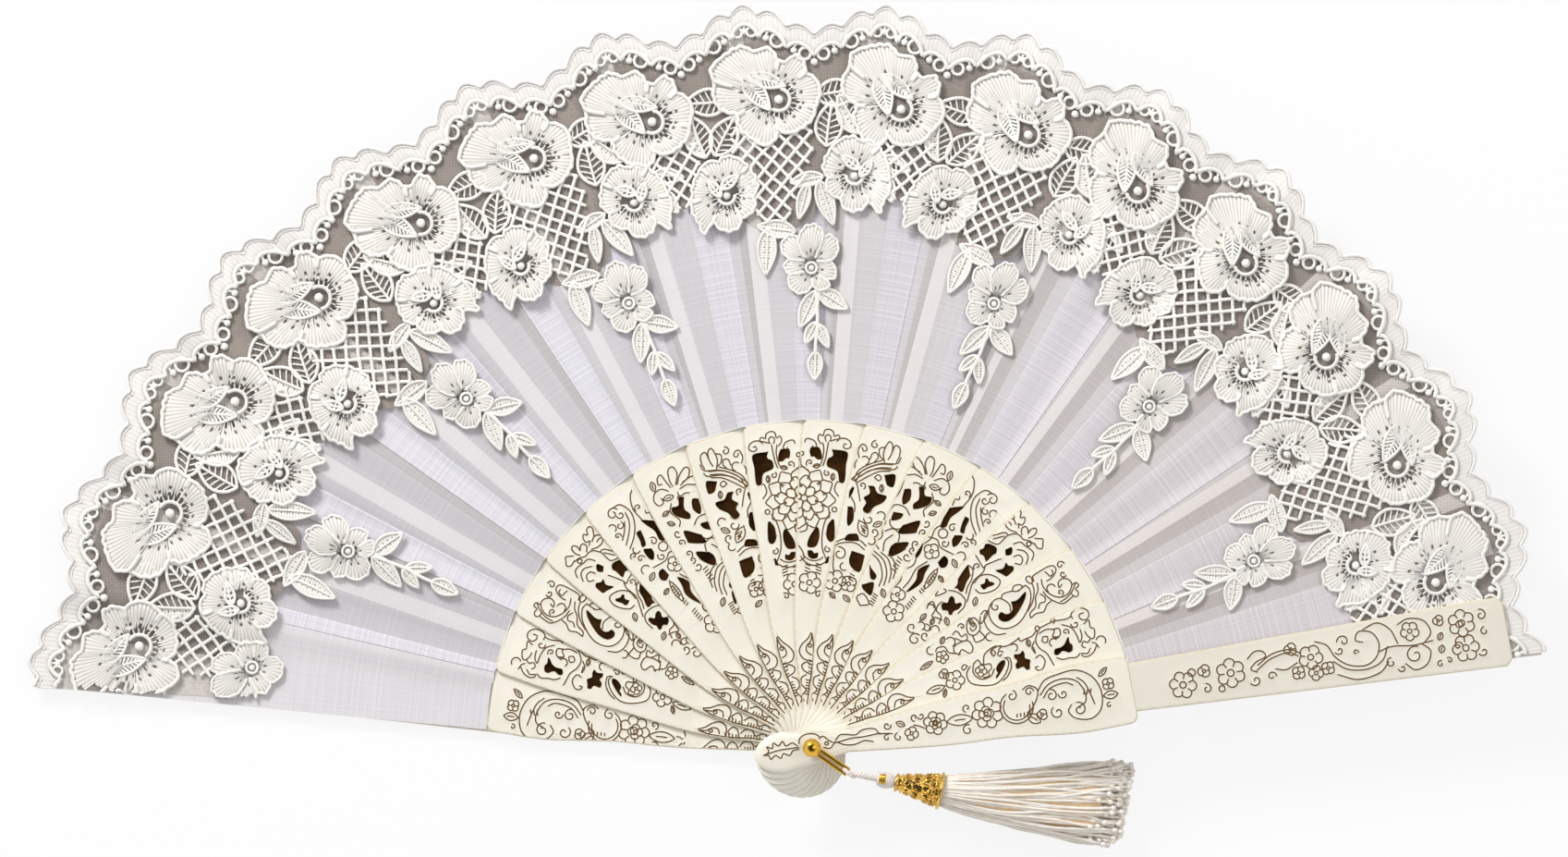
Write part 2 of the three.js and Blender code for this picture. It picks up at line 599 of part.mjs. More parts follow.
// Skirt: strands that spread from a disc in the cap's mouth to a flat oval bunch
function addSkirt() {
  const discRadius = capMouthRadius - capWall - 2 * clearance;
  const strandStart = discRadius - strandRadius * 1.5;
  const disc = [[0, 0], [0, discRadius - clearance], [backDisc, discRadius], [backDisc, 0]];
  const back = toSolid(tiltedLathe(disc, capMouth - backDisc - clearance, 16));
  const corners = 3;
  const stations = [0, 0.3, 0.65, 1];
  const endTurn = degToRad(skirtTurn);
  const parts = [back];
  for (let s = 0; s < strandCount; s++) {
    const share = Math.sqrt((s + 0.5) / strandCount);
    const angle = s * Math.PI * (3 - Math.sqrt(5));
    const vertices = [];
    const start = new THREE.Vector2(Math.cos(angle), Math.sin(angle)).multiplyScalar(share);
    const length = skirtLength - strandUneven * ((s * 7) % 11) / 10;
    for (const t of stations) {
      const spread = t ** 0.8;
      const bend = Math.sin(endTurn) * length * t ** 1.4;
      const y = start.x * lerp(strandStart, skirtHalfWidth, spread) + bend;
      const high = start.y * lerp(strandStart, skirtHalfHeight, spread);
      const x = capMouth - backDisc / 2 + length * t;
      const z = slopeZ(capMouth) - skirtSag * Math.sin(t * Math.PI / 2) - length * t * skirtSlope + high;
      for (let c = 0; c < corners; c++) {
        const a = (c / corners) * 2 * Math.PI + angle;
        const radius = strandRadius * lerp(0.4, 1, t);
        vertices.push(x, y + radius * Math.cos(a), z + radius * Math.sin(a));
      }
    }
    const index = [0, 2, 1];
    for (let i = 0; i + 1 < stations.length; i++) {
      for (let c = 0; c < corners; c++) {
        const [a, b] = [i * corners + c, i * corners + (c + 1) % corners];
        index.push(a, b, a + corners, b, b + corners, a + corners);
      }
    }
    const last = (stations.length - 1) * corners;
    index.push(last, last + 1, last + 2);
    const strand = new THREE.BufferGeometry();
    strand.setAttribute('position', new THREE.Float32BufferAttribute(vertices, 3));
    strand.setIndex(index);
    parts.push(toSolid(strand));
  }
  addMesh('tassel_skirt', toGeometry(parts.reduce((all, next) => all.add(next))), silk, tassel);
}

addGuard('rear_guard', 0, rearGuardZ, 1, -rearTopOffset, rearTipOffset);
for (let k = 1; k <= innerSticks; k++) addStick(k);
addGuard('front_guard', lastBody, frontGuardZ, -1, guardTopOffset, -guardTipOffset);
for (let gore = 1; gore <= lastBody; gore++) {
  addLeafGore(gore);
  addLaceGore(gore);
}
addRivet();
addBail();
addCord();
addKnot();
addCap();
addSkirt();

export default fan;
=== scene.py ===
import bpy
import math
import random
import numpy as np
from mathutils import Matrix, Vector, kdtree
from mathutils.geometry import delaunay_2d_cdt


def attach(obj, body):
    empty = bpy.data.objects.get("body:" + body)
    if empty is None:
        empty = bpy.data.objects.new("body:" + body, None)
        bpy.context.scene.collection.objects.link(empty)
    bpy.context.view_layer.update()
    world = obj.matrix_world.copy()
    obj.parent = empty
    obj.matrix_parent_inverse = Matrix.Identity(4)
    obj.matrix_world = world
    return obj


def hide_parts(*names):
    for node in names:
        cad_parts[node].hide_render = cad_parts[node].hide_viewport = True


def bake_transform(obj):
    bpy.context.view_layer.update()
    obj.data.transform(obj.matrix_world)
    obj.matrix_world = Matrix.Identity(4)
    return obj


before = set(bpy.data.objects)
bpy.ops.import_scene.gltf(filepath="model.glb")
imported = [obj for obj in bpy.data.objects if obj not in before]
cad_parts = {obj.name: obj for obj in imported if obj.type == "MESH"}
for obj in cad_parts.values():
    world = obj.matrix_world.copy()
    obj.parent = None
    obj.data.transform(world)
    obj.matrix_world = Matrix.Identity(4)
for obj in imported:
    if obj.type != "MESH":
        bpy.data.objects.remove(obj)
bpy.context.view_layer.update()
mm = 0.001
radians = math.radians
fullTurn = 2 * math.pi

# where the sticks, the leaf and the lace lie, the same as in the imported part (mm and degrees)
fan = {
    "innerSticks": 14,
    "foldStep": 10.75,
    "rearAngle": 171.5,
    "leafInner": 99.5,
    "leafOuter": 214,
    "leftStretch": 0.06,
    "stretchSpan": 66,
    "clothThickness": 0.25,
    "rearClothZ": 2.8,
    "firstClothZ": 4.65,
    "stickPitch": 1.3,
    "leftEdge": (4.2, 0.1),
    "rightEdge": (5, 0.055),
    "bladeThickness": 1.0,
    "guardThickness": 2.4,
    "rearGuardZ": 1.2,
    "firstStickZ": 3.9,
    "frontGuardZ": 22.1,
}
lastBody = fan["innerSticks"] + 1
rng = random.Random(7)


def stickAngle(k):
    return fan["rearAngle"] - fan["foldStep"] * k


def stickBody(k):
    if k == 0:
        return "rear_guard"
    return "front_guard" if k == lastBody else f"stick_{k:02d}"


def stickZ(k):
    return fan["firstStickZ"] + (k - 1) * fan["stickPitch"]


def clothZ(k):
    if k == 0:
        return fan["rearClothZ"]
    return fan["firstClothZ"] + (min(k, fan["innerSticks"]) - 1) * fan["stickPitch"]


def stretch(angle):
    # the left gores are longer
    t = np.clip((np.asarray(angle, float) - fan["rearAngle"] + fan["stretchSpan"]) / fan["stretchSpan"], 0, 1)
    return 1 + fan["leftStretch"] * t * t * (3 - 2 * t)


def polar(angle, radius):
    return radius * math.cos(radians(angle)), radius * math.sin(radians(angle))


class Pile:
    # gathers points, faces and their finishes until they become one object
    def __init__(self):
        self.points = []
        self.faces = []
        self.kinds = []

    def add(self, points, faces, kind=0):
        base = len(self.points)
        self.points.extend(tuple(p) for p in points)
        self.faces.extend(tuple(base + i for i in face) for face in faces)
        self.kinds.extend([kind] * len(faces))


def linkObject(name, data):
    made = bpy.data.objects.new(name, data)
    bpy.context.scene.collection.objects.link(made)
    return made


def makeObject(name, points, faces, finishes, kinds=None, smooth=None, scale=mm):
    mesh = bpy.data.meshes.new(name)
    mesh.from_pydata([(x * scale, y * scale, z * scale) for x, y, z in points], [], faces)
    for finish in finishes:
        mesh.materials.append(finish)
    if kinds is not None:
        mesh.polygons.foreach_set("material_index", np.array(kinds, np.int32))
    if smooth is not None:
        mesh.polygons.foreach_set("use_smooth", np.ones(len(mesh.polygons), bool))
        if smooth < 180:
            mesh.set_sharp_from_angle(angle=radians(smooth))
    mesh.validate()
    return linkObject(name, mesh)


def addNumbers(made, name, values):
    layer = made.data.attributes.new(name, "FLOAT", "POINT")
    layer.data.foreach_set("value", np.asarray(values, np.float32))


def gridFaces(rows, columns, closed=False):
    faces = []
    for r in range(rows - 1):
        for c in range(columns if closed else columns - 1):
            n = (c + 1) % columns
            faces.append((r * columns + c, r * columns + n, (r + 1) * columns + n, (r + 1) * columns + c))
    return faces


def smoothPath(stops, spacing):
    # a curve through the stops, with points about one spacing apart
    stops = np.asarray(stops, float)
    padded = np.vstack([2 * stops[0] - stops[1], stops, 2 * stops[-1] - stops[-2]])
    out = []
    for i in range(1, len(padded) - 2):
        a, b, c, d = padded[i - 1:i + 3]
        steps = max(2, int(np.linalg.norm(c - b) / spacing) + 1)
        t = np.linspace(0, 1, steps, endpoint=False)[:, None]
        bend, turn = 2 * a - 5 * b + 4 * c - d, 3 * b - a - 3 * c + d
        out.append(0.5 * (2 * b + (c - a) * t + bend * t**2 + turn * t**3))
    out.append(stops[-1:])
    return np.vstack(out)


def directions(path, closed=False):
    # unit steps along a line of points
    along = np.roll(path, -1, 0) - np.roll(path, 1, 0) if closed else np.gradient(path, axis=0)
    return along / np.maximum(np.linalg.norm(along, axis=1), 1e-6)[:, None]


def leftward(along):
    return np.stack([-along[:, 1], along[:, 0]], 1)


def lengthAlong(path):
    return np.concatenate([[0], np.cumsum(np.linalg.norm(np.diff(path, axis=0), axis=1))])


# finishes: shader trees and the two groups that they share


def plug(tree, value, socket):
    # links a socket, or sets a plain value
    if isinstance(value, bpy.types.NodeSocket):
        tree.links.new(value, socket)
    else:
        socket.default_value = value


def dress(tree, made, **values):
    for name, value in values.items():
        plug(tree, value, made.inputs[name.replace("_", " ")])


def node(tree, kind, settings=(), **values):
    made = tree.nodes.new("ShaderNode" + kind)
    for name, value in dict(settings).items():
        setattr(made, name, value)
    dress(tree, made, **values)
    return made


def joined(tree, kind, settings, *values):
    # a node whose inputs are taken in their order
    made = node(tree, kind, settings)
    for socket, value in zip(made.inputs, values):
        plug(tree, value, socket)
    return made.outputs[0]


def calculate(tree, operation, first, second):
    return joined(tree, "Math", {"operation": operation}, first, second)


def newFinish(name):
    finish = bpy.data.materials.new(name)
    finish.use_nodes = True
    tree = finish.node_tree
    tree.nodes.clear()
    shader = node(tree, "BsdfPrincipled")
    node(tree, "OutputMaterial", Surface=shader.outputs[0])
    return finish, tree, shader


def colour(r, g, b):
    # from 0 to 255 as seen, to the numbers that Blender mixes
    linear = [c / 255 / 12.92 if c <= 10 else ((c / 255 + 0.055) / 1.055) ** 2.4 for c in (r, g, b)]
    return (*linear, 1)


def toned(base, factor):
    return tuple(min(1, c * factor) for c in base[:3]) + (1,)


def mixColour(tree, factor, first, second, mode="MIX"):
    made = node(tree, "Mix", {"data_type": "RGBA", "blend_type": mode})
    for socket, value in ((0, factor), (6, first), (7, second)):
        plug(tree, value, made.inputs[socket])
    return made.outputs[2]


def ramp(tree, source, *stops):
    made = node(tree, "ValToRGB", Fac=source)
    while len(made.color_ramp.elements) < len(stops):
        made.color_ramp.elements.new(0.5)
    for element, (place, value) in zip(made.color_ramp.elements, stops):
        element.position = place
        element.color = (value, value, value, 1)
    return made.outputs[0]


def objectPlace(tree):
    return node(tree, "TexCoord").outputs["Object"]


def meshNumber(tree, name):
    return node(tree, "Attribute", {"attribute_name": name}).outputs["Fac"]


def relief(tree, height, strength, distance, invert=False):
    made = node(tree, "Bump", {"invert": invert}, Height=height, Strength=strength, Distance=distance * mm)
    return made.outputs[0]


def makeGroup(name, inputs, outputs):
    group = bpy.data.node_groups.new(name, "ShaderNodeTree")
    for label, kind, value in inputs:
        socket = group.interface.new_socket(label, in_out="INPUT", socket_type="NodeSocket" + kind)
        socket.default_value = value
    for label, kind in outputs:
        group.interface.new_socket(label, in_out="OUTPUT", socket_type="NodeSocket" + kind)
    return group, group.nodes.new("NodeGroupInput").outputs, group.nodes.new("NodeGroupOutput")


def makeMottleGroup():
    # slow changes of shade, for every finish
    inputs = [("Colour", "Color", (1, 1, 1, 1)), ("Shade", "Color", (0.5, 0.5, 0.5, 1)),
              ("Amount", "Float", 0.2), ("Size", "Float", 100)]
    group, given, end = makeGroup("mottle", inputs, [("Colour", "Color"), ("Mask", "Float")])
    slow = node(group, "TexNoise", Vector=objectPlace(group), Scale=given["Size"], Detail=3, Roughness=0.55)
    mask = ramp(group, slow.outputs["Fac"], (0.35, 0.0), (0.7, 1.0))
    amount = calculate(group, "MULTIPLY", mask, given["Amount"])
    dress(group, end, Colour=mixColour(group, amount, given["Colour"], given["Shade"]), Mask=mask)
    return group


def makeWeaveGroup():
    # fine crossing threads, from two sets of waves
    group, given, end = makeGroup("weave", [("Threads", "Float", 1500)], [("Height", "Float")])
    place = objectPlace(group)
    waves = [node(group, "TexWave", {"wave_type": "BANDS", "bands_direction": direction}, Vector=place,
                  Scale=given["Threads"], Distortion=1.5, Detail=2).outputs["Fac"]
             for direction in ("X", "Y")]
    dress(group, end, Height=calculate(group, "MULTIPLY", *waves))
    return group


mottle = makeMottleGroup()
weave = makeWeaveGroup()


def useGroup(tree, group, **values):
    return node(tree, "Group", {"node_tree": group}, **values).outputs


def makeCloth(name, base, shade, threads, streak=0.3, bump=0.05):
    # woven cloth: fine threads, streaks along and across the gores, and a warmer tone towards the right
    finish, tree, shader = newFinish(name)
    cloth = useGroup(tree, mottle, Colour=base, Shade=shade, Amount=0.5, Size=60)["Colour"]
    weft = useGroup(tree, weave, Threads=threads)["Height"]
    for attribute, scale, tone in (("around", 3.2, toned(shade, 0.86)), ("along", 1.2, toned(base, 1.25))):
        lines = node(tree, "TexNoise", {"noise_dimensions": "1D"}, W=meshNumber(tree, attribute), Scale=scale,
                     Detail=4, Roughness=0.7)
        cloth = mixColour(tree, ramp(tree, lines.outputs["Fac"], (0.42, 0.0), (0.62, streak)), cloth, tone)
    right = node(tree, "MapRange", Value=meshNumber(tree, "around"), From_Min=110, From_Max=30)
    cloth = mixColour(tree, right.outputs[0], cloth, colour(250, 245, 239), "MULTIPLY")
    lit = mixColour(tree, ramp(tree, weft, (0.0, 0.0), (1.0, 0.5)), cloth, toned(base, 1.12))
    dress(tree, shader, Base_Color=lit, Roughness=0.75, Sheen_Weight=0.15,
          Normal=relief(tree, weft, 0.4, bump))
    return finish


def makeIvory(name, base, shade, rough=0.38, size=28, gloss=1.0):
    finish, tree, shader = newFinish(name)
    tint = useGroup(tree, mottle, Colour=base, Shade=shade, Amount=0.45, Size=size)["Colour"]
    grain = node(tree, "TexNoise", Vector=objectPlace(tree), Scale=900, Detail=3).outputs["Fac"]
    dress(tree, shader, Base_Color=tint, Roughness=rough, Coat_Weight=0.12 * gloss,
          Specular_IOR_Level=0.5 * gloss, Normal=relief(tree, grain, 0.12, 0.02))
    return finish


def makeThread(name, base, shade, rough, threads, size=220, sheen=0.3, deepShade=None, strength=0.4, depth=0.06):
    # wound or stitched thread, with painted shade where the mesh's depth numbers say that it lies low
    finish, tree, shader = newFinish(name)
    amount = 0.55 if deepShade else 0.5
    shown = useGroup(tree, mottle, Colour=base, Shade=shade, Amount=amount, Size=size)["Colour"]
    if deepShade:
        # painted shade: the higher the depth number, the darker
        low = meshNumber(tree, "depth")
        shown = mixColour(tree, ramp(tree, low, (0.1, 0.0), (0.42, 1.0)), shown, deepShade)
        # painted shade: the opened gaps between stitches, and the cords' undersides, turn dark brown
        shown = mixColour(tree, ramp(tree, low, (0.48, 0.0), (0.75, 1.0)), shown, colour(104, 90, 78))
    height = useGroup(tree, weave, Threads=threads)["Height"]
    dress(tree, shader, Base_Color=shown, Roughness=rough, Sheen_Weight=sheen,
          Normal=relief(tree, height, strength, depth))
    return finish


def makeSatin(name, base, shade, deepShade, rough, stitches, strength):
    return makeThread(name, base, shade, rough, stitches, 160, 0.2, deepShade, strength, 0.1)


def makeNet(name, base, cell=0.9, threads=0.16, cover=0.8):
    # open net: six-sided meshes of thread, see-through between
    finish, tree, shader = newFinish(name)
    cells = node(tree, "TexVoronoi", {"feature": "DISTANCE_TO_EDGE"}, Vector=objectPlace(tree),
                 Scale=1000 / cell, Randomness=0.25)
    tint = useGroup(tree, mottle, Colour=base, Shade=toned(base, 0.8), Amount=0.5, Size=90)["Colour"]
    dress(tree, shader, Base_Color=tint, Roughness=0.8,
          Alpha=ramp(tree, cells.outputs["Distance"], (threads * 0.6, 1.0), (threads, cover)))
    return finish


def makeGold(name, base, rough, bumps=0.0):
    finish, tree, shader = newFinish(name)
    tint = useGroup(tree, mottle, Colour=base, Shade=toned(base, 0.6), Amount=0.35, Size=300)
    shown = tint["Colour"]
    dress(tree, shader, Metallic=1.0, Roughness=ramp(tree, tint["Mask"], (0.0, rough), (1.0, rough + 0.15)))
    if bumps:
        cells = node(tree, "TexVoronoi", {"feature": "SMOOTH_F1"}, Vector=objectPlace(tree), Scale=760)
        away = cells.outputs["Distance"]
        # painted shade: the hollows between the bumps are darker
        shown = mixColour(tree, ramp(tree, away, (0.4, 0.0), (0.75, 0.7)), shown, toned(base, 0.25))
        dress(tree, shader, Normal=relief(tree, away, 1.0, bumps, True))
    dress(tree, shader, Base_Color=shown)
    return finish


ivory = makeIvory("ivory", colour(243, 238, 224), colour(236, 229, 211))
# painted shade: a darker tan ivory along the blades' edges, in the tails' creases and on the pockets' walls
ivoryEdgeShade = makeIvory("ivory_edge_painted_shade", colour(228, 216, 190), colour(206, 190, 158))
# painted shade: a slightly darker ivory over the guards' upper parts
ivoryUpper = makeIvory("ivory_guard_top", colour(235, 229, 215), colour(227, 219, 203))
# painted light: a lighter ivory for the tails that make the shell, against the shadow over it
ivoryTailLit = makeIvory("ivory_tail_painted_light", colour(254, 250, 240), colour(249, 244, 230))
engraved = makeIvory("engraved_brown", colour(128, 101, 64), colour(102, 77, 44), 0.8, 28, 0.3)
# painted shade: the dark seen through a pierced opening, on the pockets' closed floors, lighter in patches
pocketFloorShade = makeIvory("pocket_floor_painted_shade", colour(30, 16, 5), colour(92, 60, 24), 0.9, 150, 0.1)
slipFinish = makeCloth("slip_cloth", colour(225, 221, 222), colour(216, 212, 213), 1400, 0.12)
organza = makeCloth("organza", colour(204, 201, 205), colour(195, 192, 196), 1700)
organzaDouble = makeCloth("organza_double", colour(220, 217, 225), colour(212, 209, 217), 1300, 0.55, 0.1)
organzaWarm = makeCloth("organza_over_guard", colour(222, 218, 221), colour(211, 207, 211), 1500)
# painted shade: the dark strip that a fold leaves beside the slip or before the panel
organzaShade = makeCloth("organza_painted_fold_shade", colour(190, 185, 186), colour(180, 175, 176), 1500)
# the third colour of each lace finish is its painted shade
laceCord = makeSatin("lace_cord", colour(255, 253, 247), colour(252, 248, 240), colour(238, 231, 219),
                     0.6, 2600, 0.5)
laceSatin = makeSatin("lace_satin", colour(255, 253, 248), colour(253, 249, 242), colour(204, 193, 177),
                      0.5, 2200, 0.35)
laceBand = makeSatin("lace_border", colour(247, 244, 241), colour(240, 236, 233), colour(222, 216, 210),
                     0.7, 1800, 0.4)
tulleNet = makeNet("tulle_net", colour(158, 148, 140))
tulleOverSlip = makeNet("tulle_over_slip", colour(214, 207, 200))
gold = makeGold("gold", colour(230, 182, 66), 0.12)
goldCast = makeGold("gold_cast", colour(246, 200, 100), 0.2, 0.7)
# painted shade: the dark inside the cap, seen through its openings
goldHoleShade = makeIvory("gold_openings_painted_shade", colour(66, 40, 14), colour(96, 62, 24), 0.6, 400)
silk = makeThread("silk_strands", colour(255, 250, 242), colour(254, 245, 234), 0.5, 3200)
silkCord = makeThread("silk_cord", colour(246, 237, 230), colour(226, 212, 202), 0.6, 3200)
silkShade = makeThread("silk_strands_shade", colour(255, 246, 232), colour(252, 238, 220), 0.6, 3200)
# painted shade: the tan of the shaded threads between the skirt's strands
silkGapShade = makeThread("silk_gaps_painted_shade", colour(236, 204, 164), colour(218, 184, 142), 0.7, 3200)
print("finishes made")

# the camera looks straight down, and its field is the photograph's width in millimetres
shot = {"middle": (-8.4, 96.2), "distance": 3.5, "field": 475.2, "sensor": 36}


def makeCamera():
    data = bpy.data.cameras.new("camera")
    made = linkObject("camera", data)
    data.sensor_width = shot["sensor"]
    data.lens = shot["sensor"] * shot["distance"] / (shot["field"] * mm)
    data.clip_start = 0.05
    x, y = shot["middle"]
    made.location = (x * mm, y * mm, shot["distance"] + 0.01)
    bpy.context.scene.camera = made


studio = {
    "floorHalf": 3,
    "floorZ": -0.4 * mm,
    "floorColour": (243, 243, 243),
    "floorGlow": 0.86,
    "light": 0.52,
    "target": (0, 0.1, 0),
    "lamps": [("key", (-0.75, 1.2, 0.95), 0.5, 20), ("fill", (0.9, 0.3, 1.5), 1.2, 5)],
}
white = (1, 1, 1, 1)


def makeFloor():
    size = studio["floorHalf"]
    floor = makeObject("floor", [(-size, -size, 0), (size, -size, 0), (size, size, 0), (-size, size, 0)],
                       [(0, 1, 2, 3)], [], scale=1)
    floor.location.z = studio["floorZ"]
    finish, tree, shader = newFinish("floor_white")
    dress(tree, shader, Base_Color=colour(*studio["floorColour"]), Roughness=0.9, Specular_IOR_Level=0.1)
    glow = node(tree, "Emission", Color=white, Strength=1.0).outputs[0]
    rays = node(tree, "LightPath").outputs
    seen = calculate(tree, "MAXIMUM", rays["Is Camera Ray"], rays["Is Glossy Ray"])
    seen = calculate(tree, "MAXIMUM", seen, rays["Is Transmission Ray"])
    share = calculate(tree, "MULTIPLY", seen, studio["floorGlow"])
    out = next(n for n in tree.nodes if n.type == "OUTPUT_MATERIAL")
    dress(tree, out, Surface=joined(tree, "MixShader", {}, share, shader.outputs[0], glow))
    floor.data.materials.append(finish)


def makeLamp(name, place, size, power):
    data = bpy.data.lights.new(name, "AREA")
    data.shape = "DISK"
    data.size = size
    data.energy = power
    made = linkObject(name, data)
    made.location = place
    made.rotation_euler = (Vector(studio["target"]) - Vector(place)).to_track_quat("-Z", "Y").to_euler()


def makeStudio():
    world = bpy.data.worlds.new("studio")
    bpy.context.scene.world = world
    world.use_nodes = True
    tree = world.node_tree
    tree.nodes.clear()
    light = node(tree, "Background", Color=white, Strength=studio["light"]).outputs[0]
    bright = node(tree, "Background", Color=white, Strength=1.0).outputs[0]
    # what metal mirrors: pale walls all around, and a dark room straight above the floor
    parts = node(tree, "SeparateXYZ", Vector=node(tree, "TexCoord").outputs["Generated"])
    walls = ramp(tree, parts.outputs["Z"], (0.0, 1.0), (0.5, 1.0), (0.68, 0.32), (0.85, 0.04))
    room = node(tree, "Background", Color=walls, Strength=1.0).outputs[0]
    rays = node(tree, "LightPath").outputs
    for ray, shown in (("Is Glossy Ray", room), ("Is Camera Ray", bright)):
        light = joined(tree, "MixShader", {}, rays[ray], light, shown)
    node(tree, "OutputWorld", Surface=light)
    for lamp in studio["lamps"]:
        makeLamp(*lamp)


makeCamera()
makeFloor()
makeStudio()
bpy.context.scene.view_settings.view_transform = "Standard"
print("camera, floor and lamps made")

# sticks and guards

blades = {
    "length": 98.5,
    "corner": 2.5,
    "neckAt": 11,
    "neck": 3.4,
    "middleAt": 60,
    "wideAt": 80,
    "headHalf": 6.2,
    "headLobe": 9,
    "shortestHead": 9.5,
    "headGrowth": 8,
    "stick": {"shoulderAt": 34, "shoulder": 8, "middle": 9.4, "end": 10.4},
    "guard": {"shoulderAt": 40, "shoulder": 6.7, "middle": 7.8, "end": 10.2},
    "rings": (0.22, 0.55, 1.1, 1.9),
    "bevel": (0.6, 0.4),
    "headBevel": (0.5, 0.6),
    "guardHeadBevel": (2.6, 1.4),
    "headEnds": (4, 9),  # where the head's bevel starts to turn into the blade's, and over what length
    # a strip this wide along each blade's edge, from this far out, is painted in shade
    "edgeShadeWidth": 0.4,
    "edgeShadeFrom": 8,
    "creaseShade": 0.17,
    "pocketRims": (-0.3, 0, 0.14),
    "pocketFloor": 0.3,
    "pocketMiddle": 2.2,
    "groove": 0.22,
    "grooveDepth": 0.18,
    "lip": 0.36,
    "lipHeight": 0.1,
    "farthest": 9,
    "rimStep": 0.3,
    "sampleStep": 0.12,
    "weld": 1e-4,
    "stain": 0.98,  # share of a groove that is brown
    "slack": 0.03,
}


def headReach(k):
    return blades["shortestHead"] + blades["headGrowth"] * math.sin(k / lastBody * math.pi / 2)


def bladeStops(widths, end):
    # half widths along a blade, from the neck outwards
    return [(blades["neckAt"], blades["neck"]), (widths["shoulderAt"], widths["shoulder"]),
            (blades["middleAt"], widths["middle"]), (blades["wideAt"], widths["end"]), (end, widths["end"])]


def bladeHalf(widths, x):
    places, halves = zip(*bladeStops(widths, blades["length"]))
    return float(np.interp(x, places, halves))


def around(x, y, radius, angle):
    return x + radius * math.cos(angle), y + radius * math.sin(angle)


def turned(x, y, angle, at=(0, 0)):
    c, s = math.cos(angle), math.sin(angle)
    return at[0] + c * x - s * y, at[1] + s * x + c * y


def bladeOutline(reach, widths):
    lobeAt = blades["headLobe"] - reach
    length, corner, half = blades["length"], blades["corner"], widths["end"]
    head = [(lobeAt + blades["headLobe"] * math.cos(radians(a)), blades["headHalf"] * math.sin(radians(a)))
            for a in range(264, 90, -8)]
    side = smoothPath(bladeStops(widths, length - corner), 2.5)
    upper = [(lobeAt, blades["headHalf"])] + [tuple(p) for p in side]
    upper += [around(length - corner, half - corner, corner, radians(a)) for a in range(75, 0, -15)]
    upper.append((length, half - corner))
    return head + upper + [(x, -y) for x, y in reversed(upper)]


def inset(points, distance):
    # the closed outline moved inwards; it runs clockwise or anticlockwise
    points = np.asarray(points, float)
    after = np.roll(points, -1, 0)
    area = 0.5 * np.sum(points[:, 0] * after[:, 1] - after[:, 0] * points[:, 1])
    return points + leftward(directions(points, True)) * distance * (1 if area > 0 else -1)


